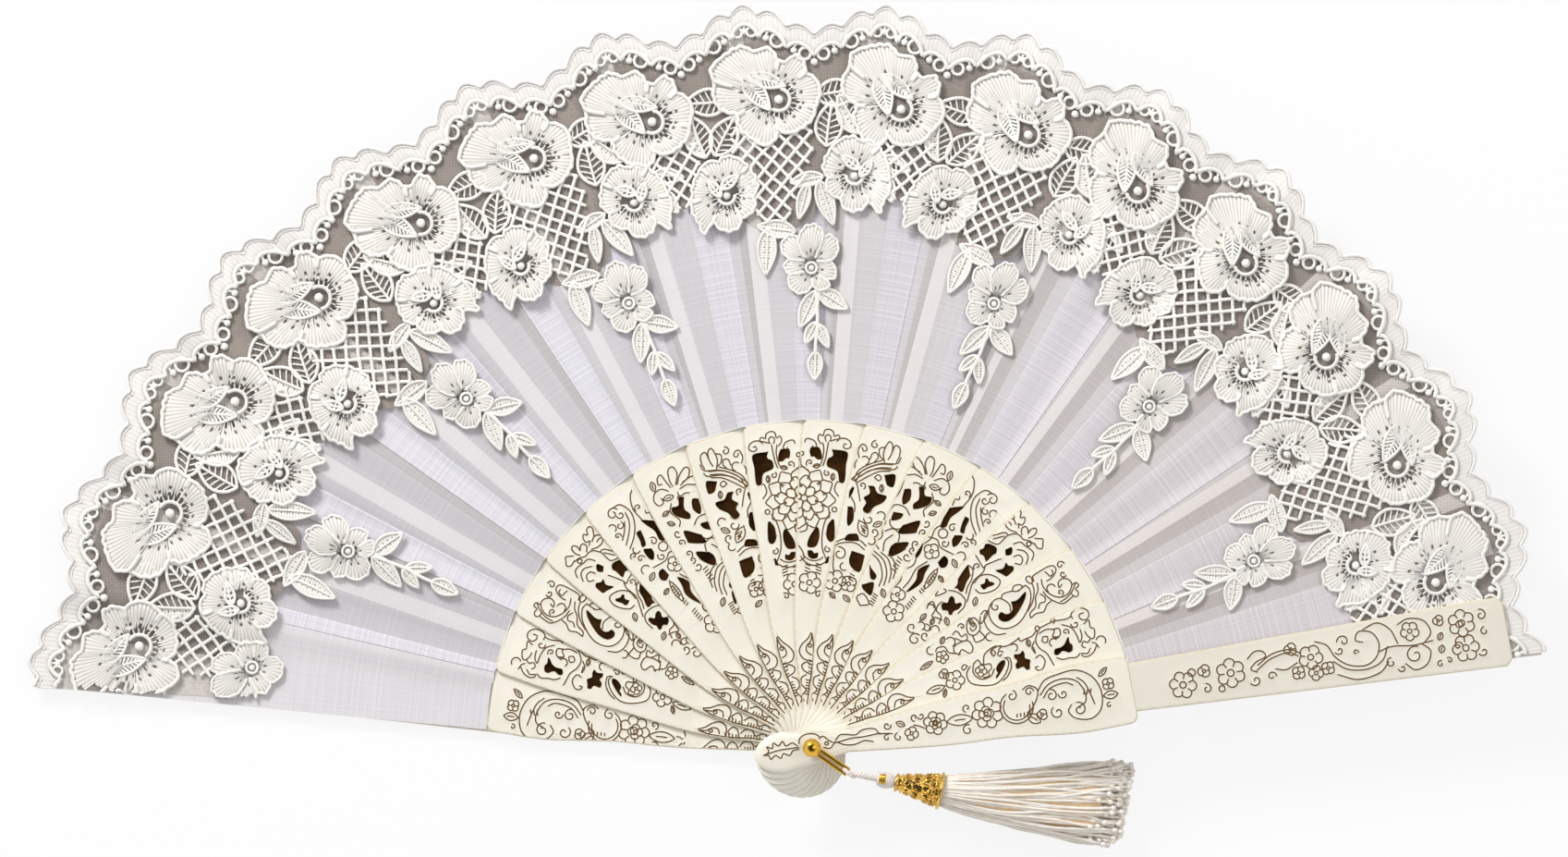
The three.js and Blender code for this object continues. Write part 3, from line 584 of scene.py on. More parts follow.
# outlines of the carved pockets in the right half's sticks, from the fan's middle outwards, in tenths of a
# millimetre
carvings = [
    [(904, 74, 903, 47, 870, 36, 866, 51, 874, 62, 873, 71, 890, 77), (902, 11, 896, -38, 856, -38, 806, -37,
     804, -20, 834, -11, 848, 20, 871, 20, 883, 6), (666, 39, 657, 29, 630, 26, 603, 35, 601, 60, 628, 59),
     (690, -6, 687, -15, 634, -20, 620, -8, 635, 6, 669, 6), (591, 60, 592, 46, 584, 38, 587, 27, 570, 27,
     565, 44, 574, 57), (573, 1, 579, -6, 558, -7, 555, 5)],
    [(851, 5, 860, -28, 823, -33, 820, -15, 831, -5), (807, 44, 809, 24, 793, 9, 790, -20, 768, -15, 748, 7,
     724, 21, 732, 41, 754, 36, 768, 47, 786, 33), (792, 88, 789, 81, 769, 82, 753, 89, 776, 94), (730, 87,
     730, 69, 696, 58, 673, 66, 681, 76), (651, 61, 657, 37, 643, 26, 636, 27, 627, 67, 642, 68), (604, 40,
     601, 1, 592, -4, 547, -2, 553, 26, 573, 40)],
    [(824, 90, 831, 71, 802, 59, 778, 71, 794, 84), (849, 54, 855, 37, 834, 25, 837, 4, 820, -1, 801, 9, 780,
     36, 794, 46, 816, 38), (747, 90, 754, 60, 735, 61, 720, 84), (722, 48, 758, 6, 728, -1, 715, 3, 693, 48),
     (666, 43, 684, 7, 652, 10, 621, 36, 629, 49, 650, 51), (574, 87, 563, 71, 551, 50, 536, 50, 536, 65),
     (507, 80, 529, 50, 497, 38, 487, 44, 496, 71)],
    [(829, 99, 858, 66, 837, 67, 805, 76, 775, 71, 764, 86, 791, 95), (836, 46, 836, 29, 811, 23, 791, 16,
     789, 30, 811, 40), (771, 38, 784, 15, 754, 10, 739, 19, 753, 34), (692, 105, 694, 96, 665, 85, 642, 88,
     661, 101), (640, 57, 655, 43, 625, 38, 598, 30, 568, 37, 544, 52, 591, 50, 619, 63), (674, 29, 702, 25,
     699, 6, 679, -1, 666, 11)],
    [(575, 50, 587, 55, 597, 45, 611, 52, 621, 50, 621, 38, 614, 26, 626, 19, 625, 9, 607, 6, 593, 11, 581, 7,
     575, 15, 580, 26, 570, 36), (667, 76, 693, 83, 720, 87, 713, 72, 701, 56, 680, 49, 656, 37, 647, 41, 646,
     57, 639, 62, 657, 66), (775, 97, 789, 93, 801, 98, 812, 88, 819, 66, 807, 54, 793, 56, 767, 56, 772, 74,
     768, 86), (833, 45, 853, 38, 849, 27, 836, 20, 823, 30), (771, 19, 791, 8, 809, 15, 809, 3, 818, -9, 812,
     -19, 798, -21, 781, -19, 777, -8, 769, 13), (706, 18, 720, 13, 731, 21, 736, 14, 734, 7, 742, -7, 735,
     -12, 718, -5, 705, -3, 702, 6)],
    [(742, 58, 761, 52, 796, 60, 789, 45, 767, 29, 738, 14, 715, 9, 695, 13, 684, 28, 688, 42, 702, 46, 708,
     36, 718, 30, 733, 34, 739, 46)],
    [(639, 37, 637, 26, 624, 12, 606, -2, 594, -8, 596, 2, 604, 8, 603, 20, 613, 32, 628, 39), (670, 43, 688,
     39, 699, 45, 702, 33, 699, 20, 711, 9, 705, -4, 700, -17, 688, -15, 683, -4, 663, -3, 663, 12, 672, 21,
     667, 32), (785, 5, 792, 14, 810, 13, 824, 18, 838, 32, 844, 31, 841, 16, 846, 5, 840, -11, 827, -13, 820,
     -7, 810, -2, 799, -7, 789, -7, 784, -1)],
]


def measured(numbers):
    # points from x, y, x, y and so on, in tenths of a millimetre
    return np.array(numbers).reshape(-1, 2) / 10


def pocketRings(numbers):
    # the lip around a pocket, its rim and the foot of its wall
    outline = measured(numbers)
    rim = smoothPath(np.vstack([outline, outline[:1]]), 0.45)[:-1]
    return [[tuple(p) for p in inset(rim, distance)] for distance in blades["pocketRims"]]


# engraved lines, each a curve in the stick's own plane with points this far apart

strokeStep = 0.55


def curlLine(x, y, size, start, sweep):
    # winds inwards, while its middle drifts a little
    steps = max(8, int(abs(sweep) / 18))
    tighter, drift = 0.78, 0.12
    out = []
    for i in range(steps + 1):
        t = i / steps
        px, py = around(x, y, size * (1 - tighter * t), radians(start + sweep * t))
        out.append((px + size * drift * t, py))
    return [out]


def arcLine(x, y, size, start, sweep):
    steps = max(4, int(abs(sweep) / 15))
    return [[around(x, y, size, radians(start + sweep * i / steps)) for i in range(steps + 1)]]


def ringLine(x, y, size):
    return arcLine(x, y, size, 0, 360)


def roseLine(x, y, size, petals, turn=0):
    out = []
    steps = petals * 8
    for i in range(steps + 1):
        a = i / steps * fullTurn
        out.append(around(x, y, size * (0.8 + 0.22 * abs(math.sin(petals * a / 2))), a + radians(turn)))
    lines = [out] + ringLine(x, y, size * 0.24)
    for i in range(petals):
        lines.append([around(x, y, r * size, radians(turn + 360 / petals * i)) for r in (0.5, 0.66, 0.8)])
    return lines


def leafLine(x, y, long, wide, turn):
    upper = [(long * (t - 0.5), wide / 2 * math.sin(math.pi * t) ** 0.8) for t in np.linspace(0, 1, 9)]
    shape = upper + [(px, -py) for px, py in reversed(upper)]
    rib = [(-long * 0.2, 0), (0, 0.1), (long * 0.22, 0)]
    return [[turned(px, py, radians(turn), (x, y)) for px, py in line] for line in (shape, rib)]


def tickLines(x, y, count, pitch, size, turn):
    return [[around(x + pitch * i, y, size * share, radians(turn)) for share in (0, 0.5, 1)]
            for i in range(count)]


def peonyLines(x, y, size):
    lines = []
    for far, near, petals, turn in ((1, 0.6, 11, 8), (0.72, 0.36, 9, 0), (0.44, 0.14, 6, 20)):
        for i in range(petals):
            middle, half = radians(turn + 360 / petals * i), math.pi / petals
            stops = ((near, -0.8), ((near + far) / 2, -1), (far * 0.9, -0.5), (far, 0), (far * 0.9, 0.5),
                     ((near + far) / 2, 1), (near, 0.8))
            lines.append([around(x, y, size * r, middle + half * s) for r, s in stops])
    return lines + ringLine(x, y, size * 0.1)


forms = {"curl": curlLine, "arc": arcLine, "ring": ringLine, "rose": roseLine, "leaf": leafLine,
         "ticks": tickLines, "peony": peonyLines}


def drawForms(entries):
    # each entry is a form with its values in millimetres, or a measured line
    lines = []
    for entry in entries:
        lines += forms[entry[0]](*entry[1:]) if isinstance(entry[0], str) else [measured(entry)]
    return [smoothPath(line, strokeStep) for line in lines]


# the row of small scrolls near the heads, the same on every stick
headRow = [
    (135, 33, 150, 41, 170, 31, 185, 46, 205, 47, 216, 33), ("ticks", 15.6, 2.1, 6, 0.85, 1.1, 80), (218, 22,
    228, 42, 244, 49, 254, 34, 246, 26), (256, 22, 264, 47, 284, 60, 306, 54, 324, 38, 343, 29), (276, 23,
    286, 38, 304, 39, 316, 29, 334, 26), ("ring", 30.4, 2.9, 0.5), ("ticks", 22.4, 1.9, 4, 1.1, 0.9, 65),
    (125, 24, 180, 22, 240, 17, 300, 18, 340, 26),
]

# engraving of the right half's sticks, from the fan's middle outwards: forms, and measured lines in tenths
engravings = [
    [("peony", 74.8, 8.2, 9.6), ("rose", 49.4, 4.6, 3.3, 5, 20), ("ticks", 52.4, 4.8, 3, 1, 1.5, 70),
     ("ticks", 52.2, 1.4, 4, 0.9, 1.6, 75), ("arc", 59.6, 3.6, 4.9, 120, 125), ("arc", 60, 4, 3.9, 125, 100),
     (570, 2, 600, 15, 640, 19, 680, 14, 710, 0), ("ring", 72, -1.2, 0.7), (558, 80, 566, 68, 586, 74, 604,
     88), (644, 88, 652, 68, 674, 66), ("ring", 88.2, 10, 0.6), (832, 76, 846, 98, 870, 102), (916, 93, 926,
     91, 928, 80, 922, 64, 909, 57, 900, 63, 908, 70), (916, 44, 929, 54, 944, 51, 940, 39, 956, 36, 961, 23,
     954, 9, 941, 6, 946, -6, 937, -12, 927, -4), (927, 13, 934, -7, 937, -27, 929, -43, 914, -47, 906, -35,
     911, -24, 921, -27, 919, -34), (924, 29, 937, 33, 945, 24, 937, 15, 925, 18), (921, 22, 898, 24, 871, 27,
     850, 33), (920, 39, 897, 34, 867, 36, 855, 40), (760, -22, 780, -8, 804, -14, 802, -30)],
    [("rose", 50.2, 6.4, 3.2, 5, 30), ("rose", 50.4, 2.2, 2.4, 4, 0), ("ticks", 51.6, 1.2, 3, 0.8, 1.4, 75),
     ("curl", 58.4, 7.3, 2.2, 20, -380), (526, 74, 546, 82, 566, 86, 606, 90, 624, 60, 628, 30, 616, 2), (614,
     96, 636, 64, 640, 26, 628, 0), ("leaf", 67.6, 2.4, 5.4, 2.8, 40), ("ticks", 66.4, 1.4, 4, 0.8, 1.2, 60),
     ("curl", 70.8, 1.4, 1.6, 90, 300), (720, 62, 742, 68, 760, 84), (754, 54, 776, 64, 806, 80, 812, 96),
     (812, 98, 850, 66, 876, 30, 886, -10), (810, 88, 842, 60, 866, 26, 876, -10), (808, 76, 832, 52, 856, 22,
     866, -10), (846, 96, 860, 99, 872, 97), (888, 14, 913, 24, 941, 21, 952, 14, 943, 3, 919, 0, 897, 6),
     (919, 0, 945, -5, 939, -21, 916, -25, 898, -21), (891, 15, 903, 33, 923, 39, 931, 27), (881, 91, 899,
     100, 921, 95, 921, 82, 909, 75, 904, 84, 912, 90), (807, 82, 841, 74, 865, 49, 882, 19, 893, -23, 914,
     -31), (816, 90, 845, 82, 869, 57, 891, 22), (827, 73, 850, 52, 865, 21, 873, -18, 886, -28), (886, 58,
     904, 56, 908, 43, 894, 36, 882, 43), (835, 31, 846, 23, 840, 11, 829, 16, 835, 31)],
    [(448, 56, 466, 76, 484, 62, 464, 34, 448, 56), ("ticks", 46.4, 2, 5, 0.8, 1.5, 80), (524, 30, 560, 36,
     594, 64, 606, 100), (534, 18, 570, 26, 602, 52, 614, 90), (548, 8, 580, 16, 610, 40, 620, 70), (566, 2,
     594, 8, 616, 26, 622, 46), ("ticks", 58.6, 0.2, 5, 1, 1.6, 75), (626, 80, 640, 98, 664, 88, 696, 102),
     (628, 66, 656, 74, 684, 60), (684, 86, 700, 68, 694, 44, 670, 36), ("arc", 72.4, 6.6, 2.2, 100, 160),
     (702, 96, 726, 99, 766, 96, 774, 64, 758, 40), (786, 102, 812, 99, 846, 102), (876, 53, 877, 79, 865,
     103, 880, 114, 893, 102, 890, 70), (884, 60, 897, 93, 917, 106, 926, 95, 912, 70, 891, 52), (893, 48,
     921, 67, 945, 64, 942, 47, 913, 37, 891, 37), (891, 30, 919, 25, 940, 21, 935, 7, 916, 1, 914, 12), (885,
     20, 901, 2, 898, -22, 877, -34, 859, -26, 862, -10, 877, -10), (870, 42, 855, 42, 857, 62, 851, 74),
     (774, -2, 792, 9, 826, -5, 848, 9), ("ring", 85.2, 4, 0.6)],
    [("rose", 47.6, 4.6, 3.2, 5, 10), ("rose", 52.4, 6.8, 2.3, 3, 0), ("ticks", 50.8, 1.4, 5, 0.9, 1.4, 78),
     ("leaf", 62.2, 1.5, 7.4, 1.9, 4), ("ticks", 57, 1, 3, 0.9, 1.2, 75), ("ticks", 60.4, 0.9, 5, 0.9, 1, 70),
     (520, 92, 560, 86, 594, 95, 624, 83, 650, 90), (550, 66, 580, 64, 620, 69, 656, 56), ("rose", 69, 6.3,
     2.4, 4, 45), ("ring", 75.4, 6.8, 1.4), (720, 96, 728, 70, 716, 48, 722, 4), (664, 90, 690, 96, 720, 88,
     750, 95, 774, 86), ("curl", 78.4, 5.4, 1.4, 0, 330), (810, -16, 834, 20, 866, 46, 900, 56, 934, 44, 940,
     20), (826, -18, 850, 12, 876, 34, 906, 42), (844, -18, 864, 6, 886, 24), ("curl", 92.4, 1, 2, 80, -400),
     (858, 68, 900, 67, 934, 84, 946, 100), ("curl", 88.4, 0.4, 1.3, 60, 330), (840, 96, 860, 100, 864, 90,
     874, 94)],
    [("curl", 44.8, 2.9, 2, 0, 400), ("curl", 46.6, 6.2, 1.6, 250, -360), (897, 86, 899, 95, 894, 108, 884,
     97, 885, 77, 895, 59), (918, 97, 933, 109, 945, 107, 945, 95, 932, 84, 943, 78, 934, 67, 920, 65, 916,
     76, 908, 64), (896, 110, 908, 106, 914, 93, 909, 78), (901, 44, 912, 57, 926, 55, 926, 44, 917, 33),
     (917, 33, 932, 37, 945, 30, 939, 20, 922, 18, 909, 23), (924, 8, 932, -1, 939, -9, 929, -20, 918, -28,
     909, -18, 912, -1), (819, 108, 835, 101, 850, 93, 866, 85, 870, 73, 853, 71, 830, 71, 820, 84, 815, 100,
     819, 108), (830, 92, 845, 84, 858, 77), (868, 71, 888, 60, 895, 46, 895, 30, 905, 16, 909, -1), (863, 41,
     883, 30, 886, 12, 891, -8, 888, -24, 870, -34), (894, 16, 903, 14, 903, 3, 892, 5, 894, 16), (860, 21,
     873, 2, 870, -18, 850, -31), (837, 12, 853, 5, 854, -11, 838, -20, 828, -6), (756, 92, 753, 74, 748, 48,
     758, 50, 798, 36, 806, 32), (758, 50, 739, 40, 715, 40, 693, 37, 643, 7), (721, 84, 720, 65, 698, 47,
     675, 39, 656, 26), (697, 34, 723, 37, 745, 24, 758, 1, 757, -17, 735, -24, 711, -17, 689, -1, 686, 17),
     (624, 70, 635, 57, 643, 37, 642, 15, 625, 1, 597, -1), (599, 89, 584, 84, 602, 75, 618, 72, 617, 84),
     (587, 58, 571, 58, 556, 49, 555, 27, 535, 15), (550, 81, 566, 77, 557, 55, 534, 46, 543, 31, 549, 17),
     (506, 41, 509, 27, 495, 21, 491, 32)],
    [("leaf", 42.4, 2.7, 4.6, 1.3, 3), ("rose", 47.8, 2.4, 1.9, 5, 0), ("leaf", 60.8, 6.6, 3, 1.2, 90), (834,
     73, 839, 87, 857, 89, 873, 89, 893, 88, 908, 82, 910, 69, 900, 59, 883, 53, 867, 53), (897, 74, 897, 64,
     884, 59, 881, 70, 877, 80), (820, 95, 829, 95, 833, 84, 827, 71, 819, 76, 816, 88, 820, 95), (902, 21,
     889, 16, 894, 30, 909, 35, 925, 24, 927, 6, 910, -10, 888, -14, 868, -4, 853, 19, 849, 44, 856, 66),
     (929, 3, 941, 2, 942, -10, 929, -13, 931, -26, 922, -35, 913, -29, 911, -17), (910, -28, 891, -31, 872,
     -30, 856, -13, 844, 11, 841, 32), (938, 2, 919, -12, 893, -22, 870, -22), (840, 63, 830, 43, 812, 28,
     799, 6, 773, -4, 768, -17), (768, -17, 789, -14, 811, -21, 829, -9, 848, -5), (830, 30, 837, 15, 830, 3,
     815, 6, 802, -5), (826, 72, 820, 49, 799, 23, 772, 6), (727, 34, 734, 50, 729, 69, 716, 85, 693, 85, 671,
     69, 662, 41, 670, 11, 692, -7, 726, -11, 759, 1, 793, 26, 810, 56, 806, 76), (668, 71, 647, 57, 640, 26,
     651, -3, 679, -17), (723, 81, 735, 89, 760, 83, 775, 74, 806, 76), (763, 81, 774, 92, 790, 88, 796, 77,
     777, 72), (645, 72, 659, 76, 667, 68, 656, 58, 630, 48, 640, 68), (600, 77, 619, 76, 627, 60, 621, 37,
     598, 28, 583, 41, 588, 61, 600, 77), (604, 64, 615, 61, 613, 46, 596, 43, 597, 55), (540, 65, 553, 69,
     559, 60, 560, 45, 575, 46, 572, 31, 557, 31, 542, 50), (515, 11, 524, 31, 546, 33, 570, 25, 572, -1, 555,
     -11, 541, 11, 523, 2), (590, 28, 589, 8, 618, 6, 616, 30), (470, 48, 481, 55, 500, 46, 502, 25, 517, 13,
     529, 2)],
    [("leaf", 41.2, 2.8, 6, 2.2, 0), ("leaf", 43.4, 0.8, 2.6, 1.1, 60), ("rose", 47.6, 3.4, 2.9, 5, 15),
     ("rose", 45.2, 6.3, 1.5, 3, 0), (608, 70, 610, 60, 621, 68, 612, 80, 609, 66, 608, 77, 627, 83, 644, 80,
     632, 72), (574, 47, 585, 72, 606, 83, 628, 87), (638, 79, 662, 74, 695, 81, 704, 82), (700, 85, 704, 73,
     722, 74, 741, 75, 760, 86), (523, 57, 510, 53, 509, 62, 518, 68, 526, 60), (546, 60, 563, 66, 567, 52,
     579, 45, 593, 42, 592, 28, 579, 21, 578, 9, 560, 10), (598, 22, 583, 7, 558, 6, 542, 17, 536, 37, 546,
     60), (533, 56, 516, 39, 516, 12, 536, -5, 567, -18, 597, -19, 628, -1, 647, 25, 644, 41), (639, 43, 654,
     37, 650, 11, 630, -11, 612, -19), (762, 98, 768, 97, 771, 88, 762, 82, 757, 91, 762, 98), (769, 89, 796,
     92, 820, 93, 853, 86, 872, 88), (874, 78, 874, 93, 889, 102, 910, 101, 925, 86, 922, 69, 907, 63, 896,
     72, 897, 84, 910, 85), (809, 97, 819, 103, 823, 94, 815, 88), (806, 72, 825, 67, 823, 50, 809, 41, 803,
     49), (765, 75, 790, 78, 810, 67, 798, 51, 813, 45), (771, 61, 784, 56, 776, 41, 764, 49, 771, 61), (761,
     80, 746, 58, 749, 33, 764, 10, 769, -16, 772, -32), (740, 56, 728, 41, 732, 22, 733, 42), (727, 9, 744,
     12, 751, -9, 737, -28, 721, -28, 716, -17, 726, -18), (900, 53, 918, 59, 915, 36, 924, 29, 918, 8, 908,
     2, 898, 15, 895, 31), (884, 42, 881, 19, 869, 5, 868, 30, 860, 57, 837, 75), (903, 4, 891, -3, 881, 4,
     871, -7, 880, -17), (904, -8, 913, -15, 917, -31, 914, -21, 899, -36, 878, -43, 863, -37, 863, -28, 879,
     -34, 893, -22), (788, -14, 804, -25, 822, -27, 843, -33, 858, -26)],
]

guardEngraving = [
    (-148, 2, -130, 10, -134, 26, -118, 18, -112, 34, -98, 22, -84, 34, -76, 18, -56, 24, -42, 12), (-148, 2,
    -132, -2, -128, -14, -112, -4, -98, -16, -88, -3, -70, -12, -58, 0, -38, 2), (-134, 4, -100, 9, -60, 8,
    -38, 7), (-36, 18, -30, 34, -10, 42, 16, 38, 30, 26), (26, 22, 40, 27, 56, 10, 76, 2, 120, 6, 160, 4, 210,
    6), (34, -6, 54, -12, 74, 2, 100, -10, 130, -14, 160, -8, 186, -16), (74, 8, 90, 22, 110, 20, 136, 14,
    160, 25, 196, 22, 206, 4), ("ring", 4.6, 0.4, 0.5), ("curl", 23.4, 2.4, 1.3, 0, -360), ("leaf", 27.6, 2.2,
    2.8, 1.6, -30), ("curl", 22.8, -1.2, 1.1, 60, 300), ("curl", 26.2, -1.6, 1.3, 90, 330), ("rose", 30.4,
    -1.2, 2, 4, 20), ("curl", 32, 3.4, 1.2, 270, -330), ("curl", 34, 3.5, 1.1, 200, 330), (206, 4, 226, 2,
    246, -2), (314, 12, 330, 6, 346, -4), ("rose", 38, 0.6, 3.5, 6, 10), ("rose", 38, 0.6, 1.8, 5, 0),
    ("leaf", 45.4, 0.2, 8, 3.2, -2), ("curl", 47.2, -3.2, 1.7, 60, 380), ("curl", 48, 3.4, 1.3, 250, -350),
    ("rose", 54, 0.8, 4.6, 7, 0), ("rose", 53.6, 0.6, 2.2, 4, 45), ("arc", 63, 1, 5, 120, 250), ("arc", 63, 1,
    4, 140, 220), ("curl", 62, 4.6, 1.7, 60, -360), ("ticks", 62.6, -2, 4, 1.1, 0.9, 80), ("curl", 67.4, 4.8,
    1.5, 0, 360), (656, 58, 676, 67, 700, 52, 694, 24, 666, -14), ("leaf", 67.6, -3.4, 4.4, 2.8, -40),
    ("rose", 70.2, -2.6, 1.6, 3, 0), (700, 44, 726, 74, 770, 85, 824, 88, 870, 60, 890, 10, 880, -40, 846,
    -64, 802, -56, 782, -32, 794, -12), (706, 32, 736, 60, 780, 69, 820, 56, 840, 20, 838, -10, 816, -22),
    (714, 22, 740, 48, 786, 56, 810, 44), ("curl", 73.8, 2.6, 1.9, 90, -400), ("curl", 77.4, 2.4, 1.4, 180,
    380), ("curl", 74.8, -2.8, 2, 120, 400), ("curl", 81.4, -3, 2.2, 100, -400), (824, 66, 844, 46, 856, 10,
    864, -24), ("ticks", 83.6, 1.2, 3, 1, 1.4, 70), ("leaf", 90.4, 6.8, 3.6, 1.4, 40), ("rose", 91.4, 3, 1.8,
    4, 0), ("leaf", 91.6, -0.4, 4.4, 2.4, 0), ("curl", 90.6, -3.4, 0.9, 60, 300),
]

guardTopEngraving = [
    ("rose", 113.6, -1.4, 4, 6, 15), ("ring", 116.8, 1.8, 1.1), ("rose", 120.6, 1.6, 1.9, 3, 0), ("curl",
    120.4, -3.8, 1.6, 90, -360), ("rose", 128.4, -0.4, 4.3, 6, 0), ("ring", 125, -4.6, 0.9), (1340, 28, 1364,
    46, 1388, 44, 1396, 26, 1364, 14, 1346, -4, 1364, -16), ("curl", 135.4, -4, 1.7, 200, 360), ("curl",
    140.4, -3.6, 1.5, 0, 330), (1364, -10, 1410, 16, 1466, 26, 1494, 10), (1368, 4, 1416, 30, 1470, 34, 1500,
    18), (1420, -16, 1450, -24, 1486, -10), ("rose", 147.4, 3.4, 1.9, 3, 0), ("rose", 153, 0, 3.6, 5, 20),
    ("rose", 148.6, -4, 2, 4, 0), ("rose", 153.8, -5, 2.2, 4, 30), ("rose", 157.6, -4.2, 2, 4, 0), (1550, 44,
    1584, 26, 1604, -14, 1640, -44, 1690, -54, 1726, -34, 1740, 4, 1724, 40, 1686, 50, 1672, 26, 1694, 16),
    (1596, -26, 1634, -56, 1690, -66, 1740, -50, 1764, -10), ("curl", 163.4, 3, 1.9, 180, -380), (1700, 54,
    1744, 66, 1780, 40, 1796, -6), ("curl", 161.8, 0.4, 1.3, 200, 330), (1600, -66, 1660, -92, 1726, -84,
    1760, -56), ("curl", 166.6, -1, 0.9, 0, 300), (1736, -20, 1780, -12, 1840, -20, 1902, -16), ("curl",
    176.6, -6, 1.6, 80, 330), (1804, 50, 1840, 62, 1884, 48, 1900, 10, 1876, -18), ("rose", 183.8, 2.4, 2.8,
    5, 10), (1870, -22, 1890, -46, 1874, -82, 1836, -94, 1808, -70), ("curl", 184, -5, 2.8, 60, 420), ("curl",
    179.6, -8.2, 1.2, 180, 330), ("rose", 192.8, 4, 1.6, 3, 0), ("leaf", 192.6, -0.8, 2.4, 1.6, 60), ("leaf",
    192.4, -4.6, 2.4, 1.8, 70), ("curl", 191.2, -9, 1.1, 60, 330), ("curl", 194, -8.4, 1, 120, -330), ("rose",
    199.6, 2, 4, 6, 0), ("ring", 198.9, 1.8, 1), ("rose", 199.6, -5.6, 4, 6, 30), ("curl", 197.4, -4.6, 1.4,
    0, 360), ("curl", 205.6, 3.4, 1.8, 100, -380), ("curl", 206, -1.6, 1.3, 90, 330), ("curl", 204.6, -7.6,
    1.4, 200, 330),
]


def bandMiddle(x):
    # middle of what the next stick leaves open
    half = bladeHalf(blades["stick"], x)
    step = radians(fan["foldStep"])
    return (half - x * math.sin(step) + half * math.cos(step)) / 2


filling = {
    "from": 46,
    "to": 93.5,
    "step": 0.9,
    "lowest": -3.4,
    "margins": (1.5, 1.6),
    "shift": 0.3,
    "rim": 0.8,
    "rimStep": 0.5,
    "tip": 96,
    "leastRoom": 1.35,
    "largest": 2.4,
    "rosesFrom": 1.6,
}


def fillers(lines, rims, seed):
    # small curls and leaves wherever the drawn ornament leaves the ground bare
    draw = random.Random(seed + 11)
    taken = np.vstack(lines + [densify(rim, filling["rimStep"]) for rim in rims])
    added = []
    shift = filling["shift"]
    for x in np.arange(filling["from"], filling["to"], filling["step"]):
        half = bladeHalf(blades["stick"], x)
        low = max(filling["lowest"], half - x * math.sin(radians(fan["foldStep"])))
        for y in np.arange(low + filling["margins"][0], half - filling["margins"][1], filling["step"]):
            px, py = x + draw.uniform(-shift, shift), y + draw.uniform(-shift, shift)
            room = np.hypot(taken[:, 0] - px, taken[:, 1] - py).min()
            room = min(room, half - filling["rim"] - py, py - low, filling["tip"] - px)
            if room < filling["leastRoom"]:
                continue
            size = min(filling["largest"], room - 0.3)
            turn = draw.uniform(0, 360)
            small = size < filling["rosesFrom"]
            form = draw.choice(("curl", "leaf", "arc", "curl") if small else ("curl", "rose", "leaf"))
            entry = (form, px, py, size, turn, draw.choice((-1, 1)) * (330 if form == "curl" else 200))
            if form == "leaf":
                entry = (form, px, py, size * 2.1, size * 1.1, turn)
            elif form == "rose":
                entry = (form, px, py, size, 4, turn)
            made = drawForms([entry])
            added += made
            taken = np.vstack([taken] + made)
    return added


def mirrored(lines, middleAt):
    return [np.array([(x, 2 * middleAt(x) - y) for x, y in line]) for line in lines]


def pocketMiddle(x):
    return blades["pocketMiddle"]


def stickCarving(k):
    # pockets and lines of stick k; the left half mirrors the right
    middle = fan["innerSticks"] // 2
    number = k - middle - 1 if k > middle else middle - k
    pockets = [pocketRings(outline) for outline in carvings[number]]
    lines = drawForms(engravings[number])
    lines += fillers(lines, [rings[0] for rings in pockets], number)
    row = drawForms(headRow)
    if k <= middle:
        flip = 2 * blades["pocketMiddle"]
        pockets = [[[(x, flip - y) for x, y in rim] for rim in rings] for rings in pockets]
        lines, row = mirrored(lines, pocketMiddle), mirrored(row, bandMiddle)
    return pockets, lines + row


def inRing(points, ring):
    # which points lie inside a closed outline
    ring = np.asarray(ring, float)
    inside = np.zeros(len(points), bool)
    for (ax, ay), (bx, by) in zip(ring, np.roll(ring, -1, 0)):
        if ay == by:
            continue
        crosses = (ay > points[:, 1]) != (by > points[:, 1])
        inside ^= crosses & (points[:, 0] < (bx - ax) * (points[:, 1] - ay) / (by - ay) + ax)
    return inside


def carvePlate(outline, pockets, lines):
    # top view of a carved plate as triangles, with points along every rim and stroke
    groove, lip = blades["groove"], blades["lip"]
    verts, edges, samples = [], [], []

    def addLine(points, closed=False):
        base, n = len(verts), len(points)
        verts.extend(Vector(p) for p in points)
        edges.extend((base + i, base + i + 1) for i in range(n - 1))
        if closed:
            edges.append((base + n - 1, base))

    addLine(outline, True)
    for distance in blades["rings"]:
        addLine([tuple(p) for p in inset(outline, distance)], True)
    for rings in pockets:
        for ringPoints in rings:
            addLine(ringPoints, True)
    for line in lines:
        normal = leftward(directions(line))
        for offset in (0, groove, -groove):
            addLine(line + normal * offset)
        for offset in (groove + lip, -groove - lip):
            verts.extend(Vector(p) for p in line + normal * offset)
        for a, b in zip(line, line[1:]):
            steps = max(1, int(np.linalg.norm(b - a) / blades["sampleStep"]))
            samples.extend(a + (b - a) * s / steps for s in range(steps))
        samples.append(line[-1])
    out = delaunay_2d_cdt(verts, edges, [], 0, blades["weld"])
    flat = np.array([tuple(p) for p in out[0]])
    triangles = np.array(out[2])
    middles = flat[triangles].mean(axis=1)
    keep = inRing(middles, outline)
    return flat, triangles[keep], middles[keep], np.array(samples)


def nearest(points, samples):
    # how far each point is from the samples
    tree = kdtree.KDTree(len(samples))
    for i, (x, y) in enumerate(samples):
        tree.insert((x, y, 0), i)
    tree.balance()
    return np.array([min(blades["farthest"], tree.find((x, y, 0))[2]) for x, y in points])


def densify(ring, spacing):
    ring = np.asarray(ring, float)
    out = []
    for a, b in zip(ring, np.roll(ring, -1, 0)):
        steps = max(1, int(np.linalg.norm(b - a) / spacing))
        out.extend(a + (b - a) * s / steps for s in range(steps))
    return out


